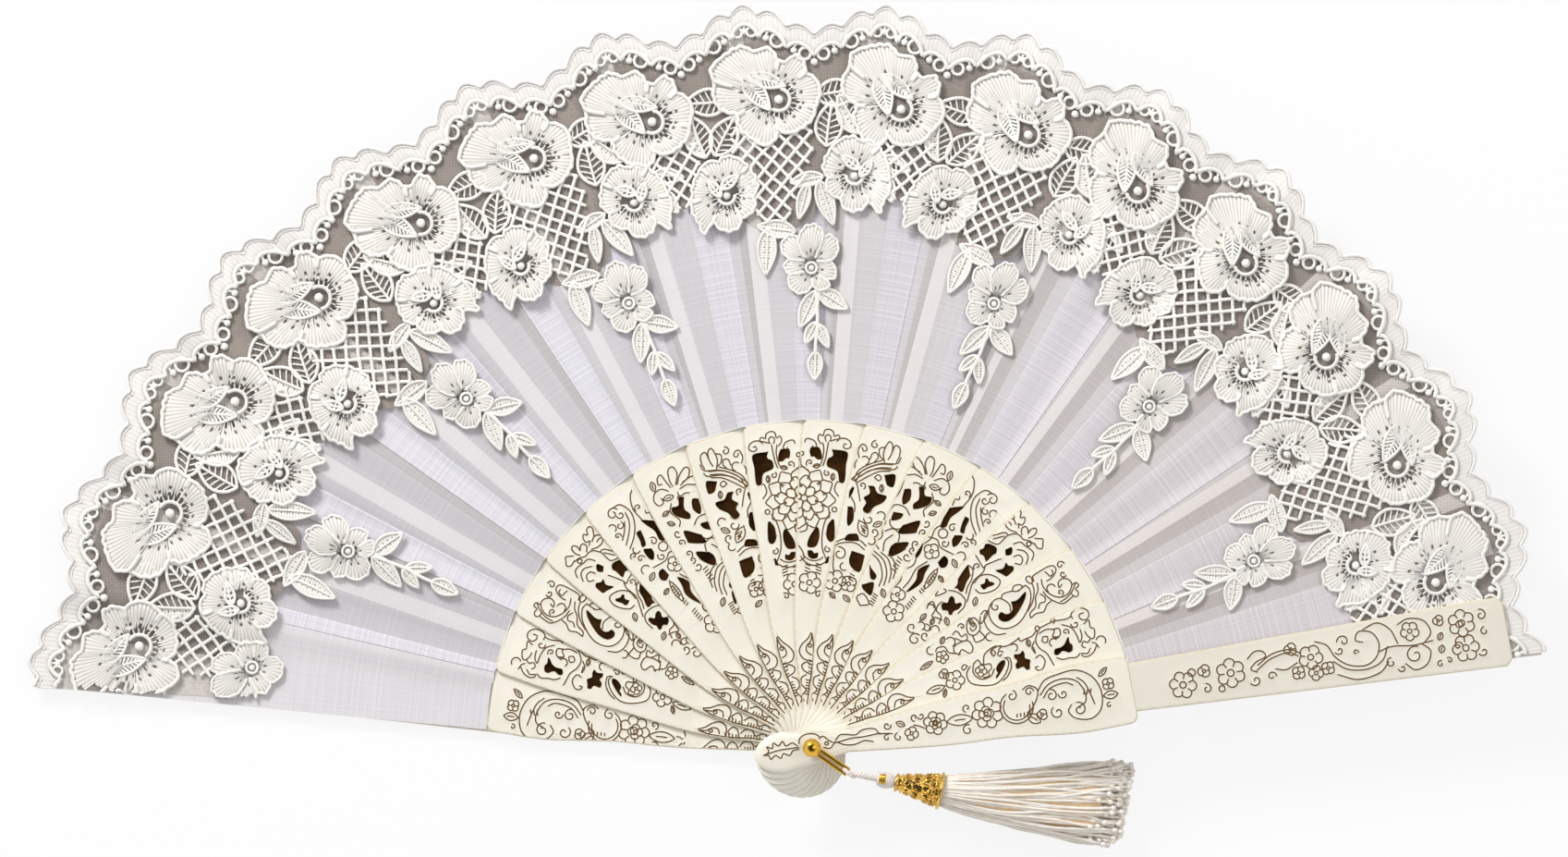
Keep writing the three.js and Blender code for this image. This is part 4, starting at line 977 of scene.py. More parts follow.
def addWalls(points, faces, kinds):
    # closes a top surface with upright walls and a flat underside
    edges = dict.fromkeys(edge for face in faces for edge in zip(face, face[1:] + face[:1]))
    border = [(a, b) for a, b in edges if (b, a) not in edges]
    low = {}
    for edge in border:
        for v in edge:
            if v not in low:
                low[v] = len(points)
                points.append((points[v][0], points[v][1], 0))
    faces.extend((b, a, low[a], low[b]) for a, b in border)
    follow = dict(border)
    loop = [border[0][0]]
    while follow[loop[-1]] != loop[0]:
        loop.append(follow[loop[-1]])
    faces.append(tuple(low[v] for v in reversed(loop)))
    kinds.extend([0] * (len(border) + 1))


def carvedPiece(name, k, baseZ, outline, thickness, pockets, lines, headBevel=blades["headBevel"],
                ground=ivory):
    flat, triangles, middles, samples = carvePlate(outline, pockets, lines)
    groove, lip = blades["groove"], blades["lip"]
    height = np.zeros(len(flat))
    kinds = np.zeros(len(triangles), int)
    if len(samples):
        height = np.interp(nearest(flat, samples), [0, groove, groove + lip],
                           [-blades["grooveDepth"], blades["lipHeight"], 0])
        kinds[nearest(middles, samples) < groove * blades["stain"]] = 1
    rim = densify(outline, blades["rimStep"])
    edge, inward = nearest(flat, rim), nearest(middles, rim)
    start, span = blades["headEnds"]
    blade = np.clip((flat[:, 0] - start) / span, 0, 1)
    (headWide, headDrop), (wide, drop) = headBevel, blades["bevel"]
    wide, drop = headWide + (wide - headWide) * blade, headDrop + (drop - headDrop) * blade
    height -= drop * (1 - np.sqrt(1 - np.clip(1 - edge / wide, 0, 1) ** 2))
    z = thickness + height
    # a strip along each blade's edges is painted in shade
    kinds[(inward < blades["edgeShadeWidth"]) & (middles[:, 0] > blades["edgeShadeFrom"])] = 3
    # the tails that make the shell by the pivot: a thin line of painted shade in each crease, and painted
    # light on the rest
    if 0 < k < lastBody:
        tail = middles[:, 0] < 0
        kinds[tail] = np.where(inward[tail] < blades["creaseShade"], 3, 4)
    # each pocket's wall is painted in shade, and its closed floor is painted dark, as the shade seen through
    # a pierced opening
    for _, opening, foot in pockets:
        kinds[inRing(middles, opening)] = 3
        kinds[inRing(middles, foot)] = 2
        z[inRing(flat, inset(foot, -blades["slack"]))] = blades["pocketFloor"]
    used, index = np.unique(triangles, return_inverse=True)
    points = [(flat[v][0], flat[v][1], z[v]) for v in used]
    faces = [tuple(int(v) for v in face) for face in index.reshape(triangles.shape)]
    kinds = [int(kind) for kind in kinds]
    addWalls(points, faces, kinds)
    finishes = [ground, engraved, pocketFloorShade, ivoryEdgeShade, ivoryTailLit]
    made = makeObject(name, points, faces, finishes, kinds, smooth=28)
    turn = Matrix.Rotation(radians(stickAngle(k)), 4, "Z")
    made.data.transform(turn @ Matrix.Translation((0, 0, baseZ * mm)))
    return made


def makeSticks():
    for k in range(1, lastBody):
        name = stickBody(k)
        outline = bladeOutline(headReach(k), blades["stick"])
        pockets, lines = stickCarving(k)
        stick = carvedPiece(f"{name}_carved", k, stickZ(k), outline, fan["bladeThickness"], pockets, lines)
        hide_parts(name)
        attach(stick, name)
    print("sticks carved")


makeSticks()

# the guards: full blades below, thin upper parts beside the leaf

guards = {
    "topStart": 92.0,
    "length": 213.0,
    "tipCut": 2.0,
    "topHalf": 7.2,
    "tipHalf": 10.6,
    "topThickness": 1.0,
    "topInset": 0.3,
    "sidePoints": 30,
    "rearLinesFrom": 38,
    "front": (0.8, -2.7),
    "rear": (3.0, 4.0),
}


def guardTopOutline(start, tip):
    # straight long sides, with cut corners at the tip
    cut, long, near = guards["tipCut"], guards["length"], guards["topStart"]
    low = [(near, start - guards["topHalf"]), (long - cut, tip - guards["tipHalf"])]
    high = [(long - cut, tip + guards["tipHalf"]), (near, start + guards["topHalf"])]
    end = [(long, low[1][1] + cut), (long, high[0][1] - cut)]

    def side(a, b):
        return [(a[0] + (b[0] - a[0]) * t, a[1] + (b[1] - a[1]) * t)
                for t in np.linspace(0, 1, guards["sidePoints"])]

    return side(*low) + end + side(*high)


def makeGuard(k, offsets):
    name = stickBody(k)
    lines, upperLines = drawForms(guardEngraving), drawForms(guardTopEngraving)
    if k == 0:
        # the rear guard mirrors the front one, as far as the photo shows it
        base = fan["rearGuardZ"]
        z = base + guards["topInset"]
        lines = mirrored([line for line in lines if line[:, 0].min() > guards["rearLinesFrom"]], pocketMiddle)
        lines += mirrored(drawForms(headRow), bandMiddle)
        upperLines = []
    else:
        base = fan["frontGuardZ"]
        z = base + fan["guardThickness"] - guards["topInset"] - guards["topThickness"]
    lower = carvedPiece(f"{name}_blade", k, base, bladeOutline(headReach(k), blades["guard"]),
                        fan["guardThickness"], [], lines, blades["guardHeadBevel"])
    upper = carvedPiece(f"{name}_upper", k, z, guardTopOutline(*offsets), guards["topThickness"], [],
                        upperLines, ground=ivoryUpper)
    for piece in (lower, upper):
        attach(piece, name)
    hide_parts(name)


makeGuard(0, guards["rear"])
makeGuard(lastBody, guards["front"])
print("guards carved")

# the leaf: fifteen gores of pleated organza over the slips

leaf = {
    "slipHalf": (2.3, 2.8),
    "slipEnd": 205,
    "pleat": 1.4,
    "lastPleats": (1.0, 0.2),
    "panelStep": 0.3,
    # for the left, middle and right gores: the share of the slip's right half that shows, the width of its
    # left half, the double panel, and where painted shade lies
    "left": {"slip": 1.0, "edge": 1.0, "panel": (0.47, 0.77), "shade": (0.36, 0.47)},
    "middle": {"slip": 0.75, "edge": 1.0, "panel": (0.36, 0.72), "shade": (0.82, 0.9)},
    "right": {"slip": 0.0, "edge": 1.4, "panel": (0.32, 0.82), "shade": (0.0, 0.17)},
    "firstPanel": (0.42, 0.56),
    "innerEdge": 98.95,
    "leftEdge": (9.8, 0.05),
    "rows": 26,
}
clothHeights = np.array([clothZ(k) for k in range(lastBody + 1)])
pleats = np.array([leaf["pleat"]] * (fan["innerSticks"] - 1) + list(leaf["lastPleats"]))


def edgeAngle(k, offset):
    # angle of a line beside stick k: offset is (at the leaf's inner edge, growth outwards), left positive
    def at(radius):
        away = offset[0] + offset[1] * (radius - fan["leafInner"])
        return stickAngle(k) + math.degrees(math.asin(away / radius))
    return at


def shareAngle(gore, share):
    return lambda radius: stickAngle(gore - 1) - fan["foldStep"] * share


def leafColumns(gore):
    # (angle at a radius, extra height) of each column, with the finish of the strip to its right
    low, high = leaf["slipHalf"]
    grow = (high - low) / (leaf["slipEnd"] - fan["leafInner"])
    strips = leaf["left" if gore < 6 else "middle" if gore < 11 else "right"]
    (first, last), (dark, light) = strips["panel"], strips["shade"]
    if gore == 1:
        first, last = leaf["firstPanel"]
        columns = [(edgeAngle(0, leaf["leftEdge"]), 0, 3), (shareAngle(1, 0), 0, 3)]
    else:
        # in the right gores the slip's right half is painted in shade
        columns = [(shareAngle(gore, 0), 0, 0 if strips["slip"] else 4)]
        if strips["slip"]:
            columns.append((edgeAngle(gore - 1, (-low * strips["slip"], -grow * strips["slip"])), 0, 1))

    def finishAt(share):
        if gore == 1:
            # two folds show as light lines
            return 0 if share in (0.14, 0.31) else 3 if share < last else 1
        # between these shares the cloth is painted in shade
        return 4 if dark <= share < light else 1

    stops = [0.14, 0.17, 0.21, 0.26, 0.31, 0.36, 0.41]
    for share in [s for s in stops if s < first - 0.03] + [first - 0.006]:
        columns.append((shareAngle(gore, share), 0, finishAt(share)))
    for share in np.linspace(first + 0.006, last - 0.006, 9):
        columns.append((shareAngle(gore, share), leaf["panelStep"], 2))
    columns.append((shareAngle(gore, last + 0.006), 0, finishAt(last + 0.006)))
    for share in (0.77, 0.82, 0.86):
        if last + 0.02 < share < 0.87 - 0.1 * (strips["edge"] - 1):
            columns.append((shareAngle(gore, share), 0, finishAt(share)))
    if gore == lastBody:
        right = tuple(-v for v in fan["rightEdge"])
        columns += [(shareAngle(gore, 1), 0, 1), (edgeAngle(gore, right), 0, 1)]
    else:
        wide = strips["edge"]
        columns += [(edgeAngle(gore, (low * wide, grow * wide)), 0, 0), (shareAngle(gore, 1), 0, 0)]
    return columns


def pleatHeight(angle, radius, hull=False):
    # height of the leaf's underside; hull bridges the valley of each pleat, as the lace does
    place = np.clip((fan["rearAngle"] - np.asarray(angle)) / fan["foldStep"], 0, lastBody - 1e-6)
    gore = place.astype(int)
    share = place - gore
    stops, lifts = [0, 0.13, 0.36, 0.7, 0.87, 1], [0, 0, 1, -1, 0, 0]
    if hull:
        stops, lifts = [0, 0.13, 0.36, 0.87, 1], [0, 0, 1, 0, 0]
    lift = np.interp(share, stops, lifts)
    lift = lift + 0.42 * hull * np.interp(share, [0.16, 0.28, 0.76, 0.9], [0, 1, 1, 0])
    rise = clothHeights[gore + 1] - clothHeights[gore]
    return clothHeights[gore] + rise * share + lift * pleats[gore] * radius / fan["leafOuter"]


def flatArea(points, faces):
    # area seen from above, in square metres
    total = 0
    for face in faces:
        ring = [points[i] for i in face]
        total += abs(sum(a[0] * b[1] - b[0] * a[1] for a, b in zip(ring, ring[1:] + ring[:1]))) / 2
    return total * mm * mm


def goreBlend(piece, gore):
    middle = radians((stickAngle(gore - 1) + stickAngle(gore)) / 2)
    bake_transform(piece)


def flatSize(points):
    # width and length of the cut, along and across its gore
    xs, ys = [p[0] for p in points], [p[1] for p in points]
    middle = math.atan2(sum(ys), sum(xs))
    c, s = math.cos(middle), math.sin(middle)
    along = [c * x + s * y for x, y in zip(xs, ys)]
    across = [c * y - s * x for x, y in zip(xs, ys)]
    return ((max(across) - min(across)) * mm, (max(along) - min(along)) * mm)


def sheetPiece(name, columns, radii, thickness, finishes, heightOf):
    # a closed thin sheet over a grid of columns and radii
    count, rows = len(columns), len(radii)
    inner, outer = fan["leafInner"], fan["leafOuter"]
    top, low = [], []
    for r in radii:
        for angleAt, extra, _ in columns:
            angle = angleAt(r)
            radius = inner + (r - inner) * (outer * float(stretch(angle)) - inner) / (outer - inner)
            x, y = polar(angle, radius)
            z = float(heightOf(angle, radius)) + thickness + extra
            top.append((x, y, z))
            low.append((x, y, z - thickness))
    upper = gridFaces(rows, count)
    kinds = [column[2] for column in columns[:-1]] * (2 * (rows - 1))
    base = len(top)
    faces = upper + [tuple(base + v for v in reversed(face)) for face in upper]
    ring = list(range(count)) + [i * count + count - 1 for i in range(1, rows)]
    ring += [(rows - 1) * count + c for c in range(count - 2, -1, -1)]
    ring += [i * count for i in range(rows - 2, 0, -1)]
    for a, b in zip(ring, ring[1:] + ring[:1]):
        faces.append((b, a, base + a, base + b))
        kinds.append(kinds[0])
    made = makeObject(name, top + low, faces, finishes, kinds, smooth=24)
    addNumbers(made, "around", [math.degrees(math.atan2(y, x)) for x, y, z in top + low])
    addNumbers(made, "along", [math.hypot(x, y) for x, y, z in top + low])
    return made, flatSize(top), flatArea(top, upper)


def makeLeaf():
    inner, outer = leaf["innerEdge"], fan["leafOuter"]
    radii = np.linspace(inner, outer, leaf["rows"])
    finishes = [slipFinish, organza, organzaDouble, organzaWarm, organzaShade]
    for gore in range(1, lastBody + 1):
        made, size, area = sheetPiece(f"leaf_{gore:02d}_organza", leafColumns(gore), radii,
                                      fan["clothThickness"], finishes, pleatHeight)
        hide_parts(f"leaf_{gore:02d}")
        goreBlend(made, gore)
    print("leaf pleated")


makeLeaf()

# the lace, drawn flat and then laid over the pleats

lace = {
    "pitch": 22.4,
    "drops": 7,
    "firstDrop": 157.1,
    "lobeMiddle": 162.6,
    "valley": 216.0,
    "bump": 7.5,
    "scallop": 2.4,
    "scallops": 5,
    "gap": 0.1,
    "cordStep": 0.5,
    "tulle": 0.12,
    "tulleRows": 12,
    "tulleInset": 1.2,
    "ceiling": 23.95,
    "stitch": 1.25,
    "arch": 4.0,
    "archBack": 8.0,
    "borderEnds": (175.8, 7.4),
    "bandStep": 0.11,
    "middle": 195,
}


def lobeTurn(angle):
    # where an angle lies across its lobe of the border, from -0.5 to 0.5
    return ((np.asarray(angle) - lace["lobeMiddle"]) / (lace["pitch"] / 2) + 0.5) % 1 - 0.5


def laceRim(angle):
    turn = lobeTurn(angle)
    bump = np.cos(turn * np.pi) ** 2
    small = np.abs(np.cos(turn * np.pi * lace["scallops"]))
    return lace["valley"] + lace["bump"] * bump + lace["scallop"] * small


class Lace:
    # all of the embroidery: points as x, y and height over the cloth, faces, and how much painted shade each
    # point gets, the more the lower it lies
    def __init__(self):
        self.points, self.faces, self.kinds, self.depths, self.count = [], [], [], [], 0

    def add(self, points, faces, kind, depth=0.0):
        self.points.append(points)
        self.depths.append(np.broadcast_to(np.asarray(depth, float), len(points)))
        self.faces.append(np.asarray(faces, np.int64) + self.count)
        self.kinds.append(np.full(len(faces), kind, np.int32))
        self.count += len(points)


embroidery = Lace()
gridCache = {}


def gridQuads(rows, columns, closed):
    key = (rows, columns, closed)
    if key not in gridCache:
        gridCache[key] = np.array(gridFaces(rows, columns, closed), np.int64)
    return gridCache[key]


class Spot:
    # a place on the open lace, with its own right and outward directions
    def __init__(self, drop, delta, radius, turn=0):
        angle = drop + delta
        self.scale = float(stretch(angle))
        self.x, self.y = polar(angle, radius * self.scale)
        outward = radians(angle + turn)
        self.out = (math.cos(outward), math.sin(outward))

    def place(self, points):
        points = np.asarray(points, float) * self.scale
        u, v = points[:, 0], points[:, 1]
        ox, oy = self.out
        return np.stack([self.x + u * oy + v * ox, self.y - u * ox + v * oy], 1)


# painted shade on each side of a cord, the most on its lower sides
cordSideShades = [0.0, 0.0, 0.15, 0.8, 0.8, 0.15]


def cord(spot, line, width, height=None, base=0.0, closed=False, kind=0, beads=0.14, step=None):
    # a thread-wrapped cord along a line, flattened on the cloth
    path = smoothPath(line, step or lace["cordStep"])
    flat = spot.place(path) if spot else path
    if closed:
        flat = flat[:-1]
    normal = leftward(directions(flat, closed))
    n, sides = len(flat), 6
    height = width * 0.8 if height is None else height
    swell = 1 + beads * np.where(np.arange(n) % 2, 1, -1)
    points = np.zeros((n, sides, 3))
    for j in range(sides):
        a = fullTurn * (j + 0.5) / sides
        across = width / 2 * math.cos(a) * swell
        points[:, j, :2] = flat + normal * across[:, None]
        points[:, j, 2] = base + height / 2 * (1 + math.sin(a) * swell)
    if not closed:
        for end in (0, -1):
            middle = points[end].mean(0)
            points[end] = middle + (points[end] - middle) * 0.45
    quads = gridQuads(n, sides, True)
    if closed:
        j = np.arange(sides)
        wrap = np.stack([(n - 1) * sides + j, (n - 1) * sides + (j + 1) % sides, (j + 1) % sides, j], 1)
        quads = np.vstack([quads, wrap])
    embroidery.add(points.reshape(-1, 3), quads, kind, np.tile(cordSideShades, n))


def satin(spot, rows, ridges, base):
    # a patch of satin stitch: rows is a function (along 0..1, across -1..1) -> (u, v)
    across = np.linspace(-1, 1, 2 * ridges + 1)
    near, far = (np.array([rows(t, s) for s in across]) for t in (0, 1))
    stitches(spot, near, far, 0.5, base, 0.12, (0.12, 0.24))


# how high a stitch lies at shares of its length
stitchLevels = [(0, 0.7), (0.1, 0.8), (0.2, 0.85), (0.24, 0.87), (0.32, 0.9), (0.6, 0.95), (0.85, 0.95),
                (1, 0.55)]


def stitches(spot, near, far, height, base, ridge, fringe):
    # threads from the near points to the far ones; between them the cloth stays open for a part of the way
    count = len(near)
    number = np.arange(count)
    valley = number % 2 == 0
    lag = np.where(valley, [rng.uniform(*fringe) for _ in range(count)], 0)
    across = np.linspace(-1, 1, count)
    points = np.zeros((len(stitchLevels), count, 3))
    depth = np.zeros((len(stitchLevels), count))
    wideOpen = fringe[1] > 0.3
    if wideOpen:
        opened = (number % 8 > 1) & (number % 8 < 5)
        lag[opened] = 0.6 * lag[number[opened] // 8 * 8 + 2]
    else:
        opened = number % 4 == 0
    for i, (t, dome) in enumerate(stitchLevels):
        t = t + lag * (1 - t)
        points[i, :, :2] = spot.place(near + (far - near) * t[:, None])
        points[i, :, 2] = base + height * dome * (1 - 0.3 * across**4) + ridge * np.where(valley, -1, 1)
        # the valleys between stitches are painted in shade
        depth[i] = np.where(valley, 0.22 + 0.18 * t, 0.0)
        # the opened gaps sink a little and are painted in dark shade
        if i in (2, 3):
            points[i, opened, 2] -= 0.3
            depth[i, opened] = np.where(number[opened] % 8 % 4 == 3, 1.0, 0.6) if wideOpen else 1.0
    quads = gridQuads(len(stitchLevels), count, False)[:, ::-1]
    embroidery.add(points.reshape(-1, 3), quads, 1, depth.ravel())


def petal(spot, outline, root, inner, height, base, edge=1.35, fringe=(0.06, 0.42), eye=None):
    # satin stitches from around the root, or from around the eye (u, v, radius), out to an uneven, corded rim
    path = smoothPath(outline, 0.3)
    arms = path - np.asarray(root, float)
    if np.sum(arms[:-1, 0] * arms[1:, 1] - arms[1:, 0] * arms[:-1, 1]) > 0:
        path = path[::-1]
    run = lengthAlong(path)
    at = np.linspace(0, run[-1], 2 * max(4, int(run[-1] / lace["stitch"])) + 1)
    far = np.stack([np.interp(at, run, path[:, i]) for i in (0, 1)], 1)
    away = far - np.asarray(root, float)
    reach = np.linalg.norm(away, axis=1, keepdims=True)
    away /= reach
    far = far + away * (0.28 * np.sin(at * 2.2 + run[-1]))[:, None]
    if eye:
        shift = np.array(eye[:2]) - root
        ahead = away @ shift
        leave = ahead + np.sqrt(np.maximum(0, ahead**2 - shift @ shift + eye[2] ** 2))
        inner = np.maximum(inner, leave)[:, None]
    near = root + away * np.minimum(inner, reach * 0.6)
    stitches(spot, near, far, height, base, 0.26, fringe)
    rim = [far[0] + (near[0] - far[0]) * 0.4] + list(far[::2]) + [far[-1] + (near[-1] - far[-1]) * 0.4]
    cord(spot, rim, edge, edge * 0.75, base + height * 0.45, beads=0.1)


def ring(spot, u, v, radius, width, base=0.0, start=0, sweep=360):
    count = max(7, int(radius * 7))
    a = np.radians(start + np.linspace(0, sweep, count))
    line = np.stack([u + radius * np.cos(a), v + radius * np.sin(a)], 1)
    cord(spot, line, width, width * 0.85, base, closed=sweep == 360)


def ball(spot, u, v, radius, base=0.0):
    rings, sides = 5, 12
    points = []
    for i in range(rings):
        lift = math.pi / 2 * (i / (rings - 1))
        for j in range(sides):
            a = fullTurn * j / sides + i * 0.25
            r = radius * max(0.03, math.cos(lift)) * (1 + 0.05 * (j % 2))
            x, y = spot.place([around(u, v, r, a)])[0]
            points.append((x, y, base + radius * 0.9 * math.sin(lift)))
    embroidery.add(np.array(points), gridQuads(rings, sides, True), 1)


def laceLeaf(spot, u, v, long, wide, turn, fill=0, veins=5, edge=0.95, base=0.1, vein=0.55):
    # a leaf with an outline cord, a midrib and side veins; fill is the side with satin: -1, 1 or 2 for both
    def at(along, across):
        half = wide / 2 * math.sin(math.pi * min(1, max(0, along)) ** 0.85) ** 0.85
        return turned((along - 0.5) * long, across * half, radians(turn), (u, v))

    outline = [at(t, 1) for t in np.linspace(0, 1, 11)] + [at(t, -1) for t in np.linspace(1, 0, 11)[1:]]
    cord(spot, outline, edge, edge * 0.9, base + 0.15, closed=True)
    cord(spot, [at(0, 0), at(0.5, 0.04), at(0.96, 0)], edge * 0.8, edge * 0.8, base + 0.2)
    for side in (-1, 1):
        if fill in (side, 2):
            satin(spot, lambda t, q: at(0.06 + 0.88 * (q + 1) / 2, side * t), max(5, int(long / 0.9)), base)
        else:
            for i in range(veins):
                t = 0.12 + 0.7 * i / max(1, veins - 1)
                cord(spot, [at(t, 0), at(t + 0.08, side * 0.55), at(t + 0.13, side * 0.98)], vein, vein * 0.9,
                     base + 0.15, step=0.8)


# rims of the petals around a flower's middle, in millimetres, with the height where each begins
bigPetals = [
    (0.3, [(-15.7, 5), (-16.4, 1.1), (-15.1, -2.5), (-12.6, -4.4), (-9, -5)]),
    (0.4, [(-9.2, -5.4), (-8.6, -9), (-5, -12.5), (-1.1, -14.6), (2, -12.9), (3, -10)]),
    (0.6, [(2.6, -9.6), (5.6, -11), (9.2, -10.2), (13.4, -6.9), (14.3, -3.2)]),
    (0.5, [(14.3, -3.6), (15.9, 1), (14.8, 4.8), (11.2, 7.5)]),
    (0.8, [(11.5, 6.9), (11.2, 10), (8.6, 12.3), (5.6, 10.4), (3.2, 10.8)]),
    (0.9, [(3.4, 10.4), (1.9, 13.4), (-0.2, 14.8), (-3.7, 13.8), (-7.8, 15.3), (-12.3, 13.1), (-16.2, 9.8),
           (-17, 7.4), (-15.5, 4.8)]),
]
smallPetals = [
    (0.3, [(-7.4, 7.2), (-9.2, 3.9), (-9.6, 0), (-7.4, -2.4)]),
    (0.4, [(-7.6, -2), (-8.2, -4.8), (-6.2, -7.4), (-3.1, -8.2)]),
    (0.6, [(-3.3, -8), (-2.6, -10.4), (0.3, -11.7), (3.7, -10.3), (4.9, -7.6)]),
    (0.4, [(4.6, -7.8), (6.8, -9.6), (8.6, -11.6), (9.3, -8.4), (11, -4), (10.4, -1)]),
    (0.5, [(10.5, -1.4), (10, 2.4), (8.6, 5.6), (6, 8.8)]),
    (0.8, [(6.4, 8.4), (3.6, 10.2), (1.2, 9.6), (-1.4, 10.9), (-5, 9.8), (-7.6, 7)]),
]
blossomPetals = [
    (0.3, (0, -4.8), [(-2.2, -4), (-5.4, -5), (-5.4, -8), (-2.7, -10), (0, -8.7), (0.7, -6.4)]),
    (0.4, (1.2, -4.6), [(0.7, -6.4), (1, -8.2), (2.6, -9), (4.8, -8.4), (4.8, -6.6), (3, -5.4)]),
    (0.3, (-0.8, -2.8), [(-2, -0.6), (-5.8, -0.7), (-6.8, -2.6), (-5.6, -4.5), (-2.6, -4.2)]),
    (0.4, (1.2, -3.4), [(2.2, -0.9), (5.4, -1.2), (6.8, -3.6), (6.2, -6), (3, -5.6)]),
    (0.5, (-0.6, -0.6), [(-1.6, 4.4), (-4.9, 6.1), (-7.3, 4.3), (-7.4, 1.6), (-5.2, -0.5), (-2, -0.9)]),
    (0.6, (0.8, -0.6), [(2.2, 4.4), (5.1, 6.1), (7.3, 4.2), (7.2, 1.2), (5.4, -0.9), (2.2, -1.2)]),
    (0.9, (0, -1.4), [(-1.8, 0.4), (-3.1, 3.6), (-2.6, 6.4), (-0.9, 8.6), (1.6, 8.8), (3.5, 6.5), (2.9, 3.6),
                      (1.6, 0.2)]),
]


def cLadder(spot, u, v, radius, start, sweep, base):
    # the open ring of cord around a flower's eye, tied to the petals by short bars
    ring(spot, u, v, radius * 0.67, 1.25, base + 0.1, start, sweep)
    count = int(sweep / 19)
    for i in range(count + 1):
        bar = [around(u, v, radius * r, radians(start + i * sweep / count)) for r in (0.7, 0.88, 1.06)]
        cord(spot, bar, 0.55, 0.45, base)


def spotLeaf(spot, u, v, long, wide, turn, base):
    # a leaf near the middle of a flower, closed but for small openings between its veins
    laceLeaf(spot, u, v, long, wide, turn, 0, int(long / 1.35), 1.0, base, 0.8)


def bigFlower(spot):
    for base, outline in bigPetals:
        petal(spot, outline, (1, -0.3), 4.4, 1.1, base, eye=(3.4, -1, 5))
    spotLeaf(spot, -3.4, 1.2, 13, 5.4, -52, 0.7)
    spotLeaf(spot, -0.2, 4.9, 11.4, 4.4, -17, 0.85)
    cLadder(spot, 3.4, -1, 5, -128, 210, 0.7)
    ball(spot, 3.4, -0.9, 1.35, 0.7)


def smallFlower(spot, side):
    # the two kinds of small flower mirror each other
    for base, outline in smallPetals:
        rim = [(side * u, v) for u, v in outline][::side]
        petal(spot, rim, (0, -0.2), 3.0, 1.0, base, 1.15, eye=(0, -0.9, 3.8))
    cLadder(spot, 0, -0.9, 3.8, 180 if side > 0 else 150, 210, 0.6)
    ball(spot, 0, -0.8, 1.25, 0.5)
    spotLeaf(spot, -1.5 * side, 3, 6.4, 2.8, 90 + 60 * side, 1.1)
    spotLeaf(spot, 3.2 * side, 1.6, 5.8, 2.6, 90 - 30 * side, 1.2)


def doubleBlossom(spot):
    for base, root, outline in blossomPetals:
        petal(spot, [(1.14 * u, 1.1 * v) for u, v in outline], root, 0.5, 0.9, base, 0.9, (0.05, 0.35))
    ring(spot, 0.4, -3.2, 1.65, 0.95, 0.9)
    ball(spot, 0.4, -3.2, 0.95, 0.7)


# leaves of the hanging spray: across, outwards, length, width and turn
sprayLeaves = [(-1.4, 5.4, 12, 4.8, 246), (6.2, 8.2, 10, 5, -32), (-0.6, -1.8, 7, 3, 243),
               (3.3, -2.8, 7.6, 3, -67), (0.8, -11.8, 8.4, 4.2, 268)]


def hangingSpray(drop):
    spot = Spot(drop, 0, 127)
    cord(spot, [(1, 12), (1.4, 6), (1.5, 0), (1, -4.5), (0.9, -8)], 1.25, 1.0, 0.2)
    for leafValues in sprayLeaves:
        laceLeaf(spot, *leafValues, 2)


# the net of cords beside each drop, and the smaller one right of the right flower
trellises = [(4, 172.5, [(-12, 16), (12, 17), (13, 6), (9, -2), (4, -14), (-4.5, -13), (-8, -7), (-12, 2)]),
             (-8.9, 177, [(-9, 12), (8, 12), (8, -7), (3, -10), (-6, -9), (-9, -4)])]
trellisPitch = (4.9, 5.2)


def clipLine(a, b, shape):
    # the part of a line inside a convex outline, or nothing
    start, end = 0.0, 1.0
    area = sum(p[0] * q[1] - q[0] * p[1] for p, q in zip(shape, shape[1:] + shape[:1]))
    for p, q in zip(shape, shape[1:] + shape[:1]):
        nx, ny = (q[1] - p[1], p[0] - q[0]) if area > 0 else (p[1] - q[1], q[0] - p[0])
        da = (a[0] - p[0]) * nx + (a[1] - p[1]) * ny
        db = (b[0] - p[0]) * nx + (b[1] - p[1]) * ny
        if da > 0 and db > 0:
            return None
        if da > 0:
            start = max(start, da / (da - db))
        elif db > 0:
            end = min(end, da / (da - db))
    if end - start < 0.02:
        return None
    return [(a[0] + (b[0] - a[0]) * t, a[1] + (b[1] - a[1]) * t) for t in np.linspace(start, end, 6)]


def trellis(drop, delta, radius, cut):
    spot = Spot(drop, delta, radius)
    wide, high = trellisPitch
    far = 6  # how many meshes the cords run out from the middle
    for i in range(-far - 1, far + 2):
        for way in (1, -1):
            line = clipLine((i * wide - far * wide, -far * high * way),
                            (i * wide + far * wide, far * high * way), cut)
            if line:
                line[1:-1] = [(x + rng.uniform(-0.2, 0.2), y + rng.uniform(-0.2, 0.2)) for x, y in line[1:-1]]
                cord(spot, line, 1.15, 0.9, 0.3 + 0.12 * (way > 0))
    for i in range(-far - 2, far + 3):
        for j in range(-far - 2, far + 3):
            u, v = (i + j) * wide / 2, (j - i) * high / 2
            if clipLine((u - 0.1, v), (u + 0.1, v), cut):
                ball(spot, u, v, 0.8, 0.5)


# skeleton leaves in threes between the big flowers: angle from the drop, radius, turn and filled side
trioPlaces = [(9.4, 197.4, 175, 0), (10.7, 187.6, 100, 1), (8.2, 186.6, 55, 0), (-2.2, 198, 10, 0),
              (-1.5, 188.4, 84, 0), (-3.4, 191.6, 125, 1)]


def trios(drop):
    for delta, radius, turn, fill in trioPlaces:
        laceLeaf(Spot(drop, delta, radius), 0, 0, 13.4, 8, turn, fill, 6, 1.15)


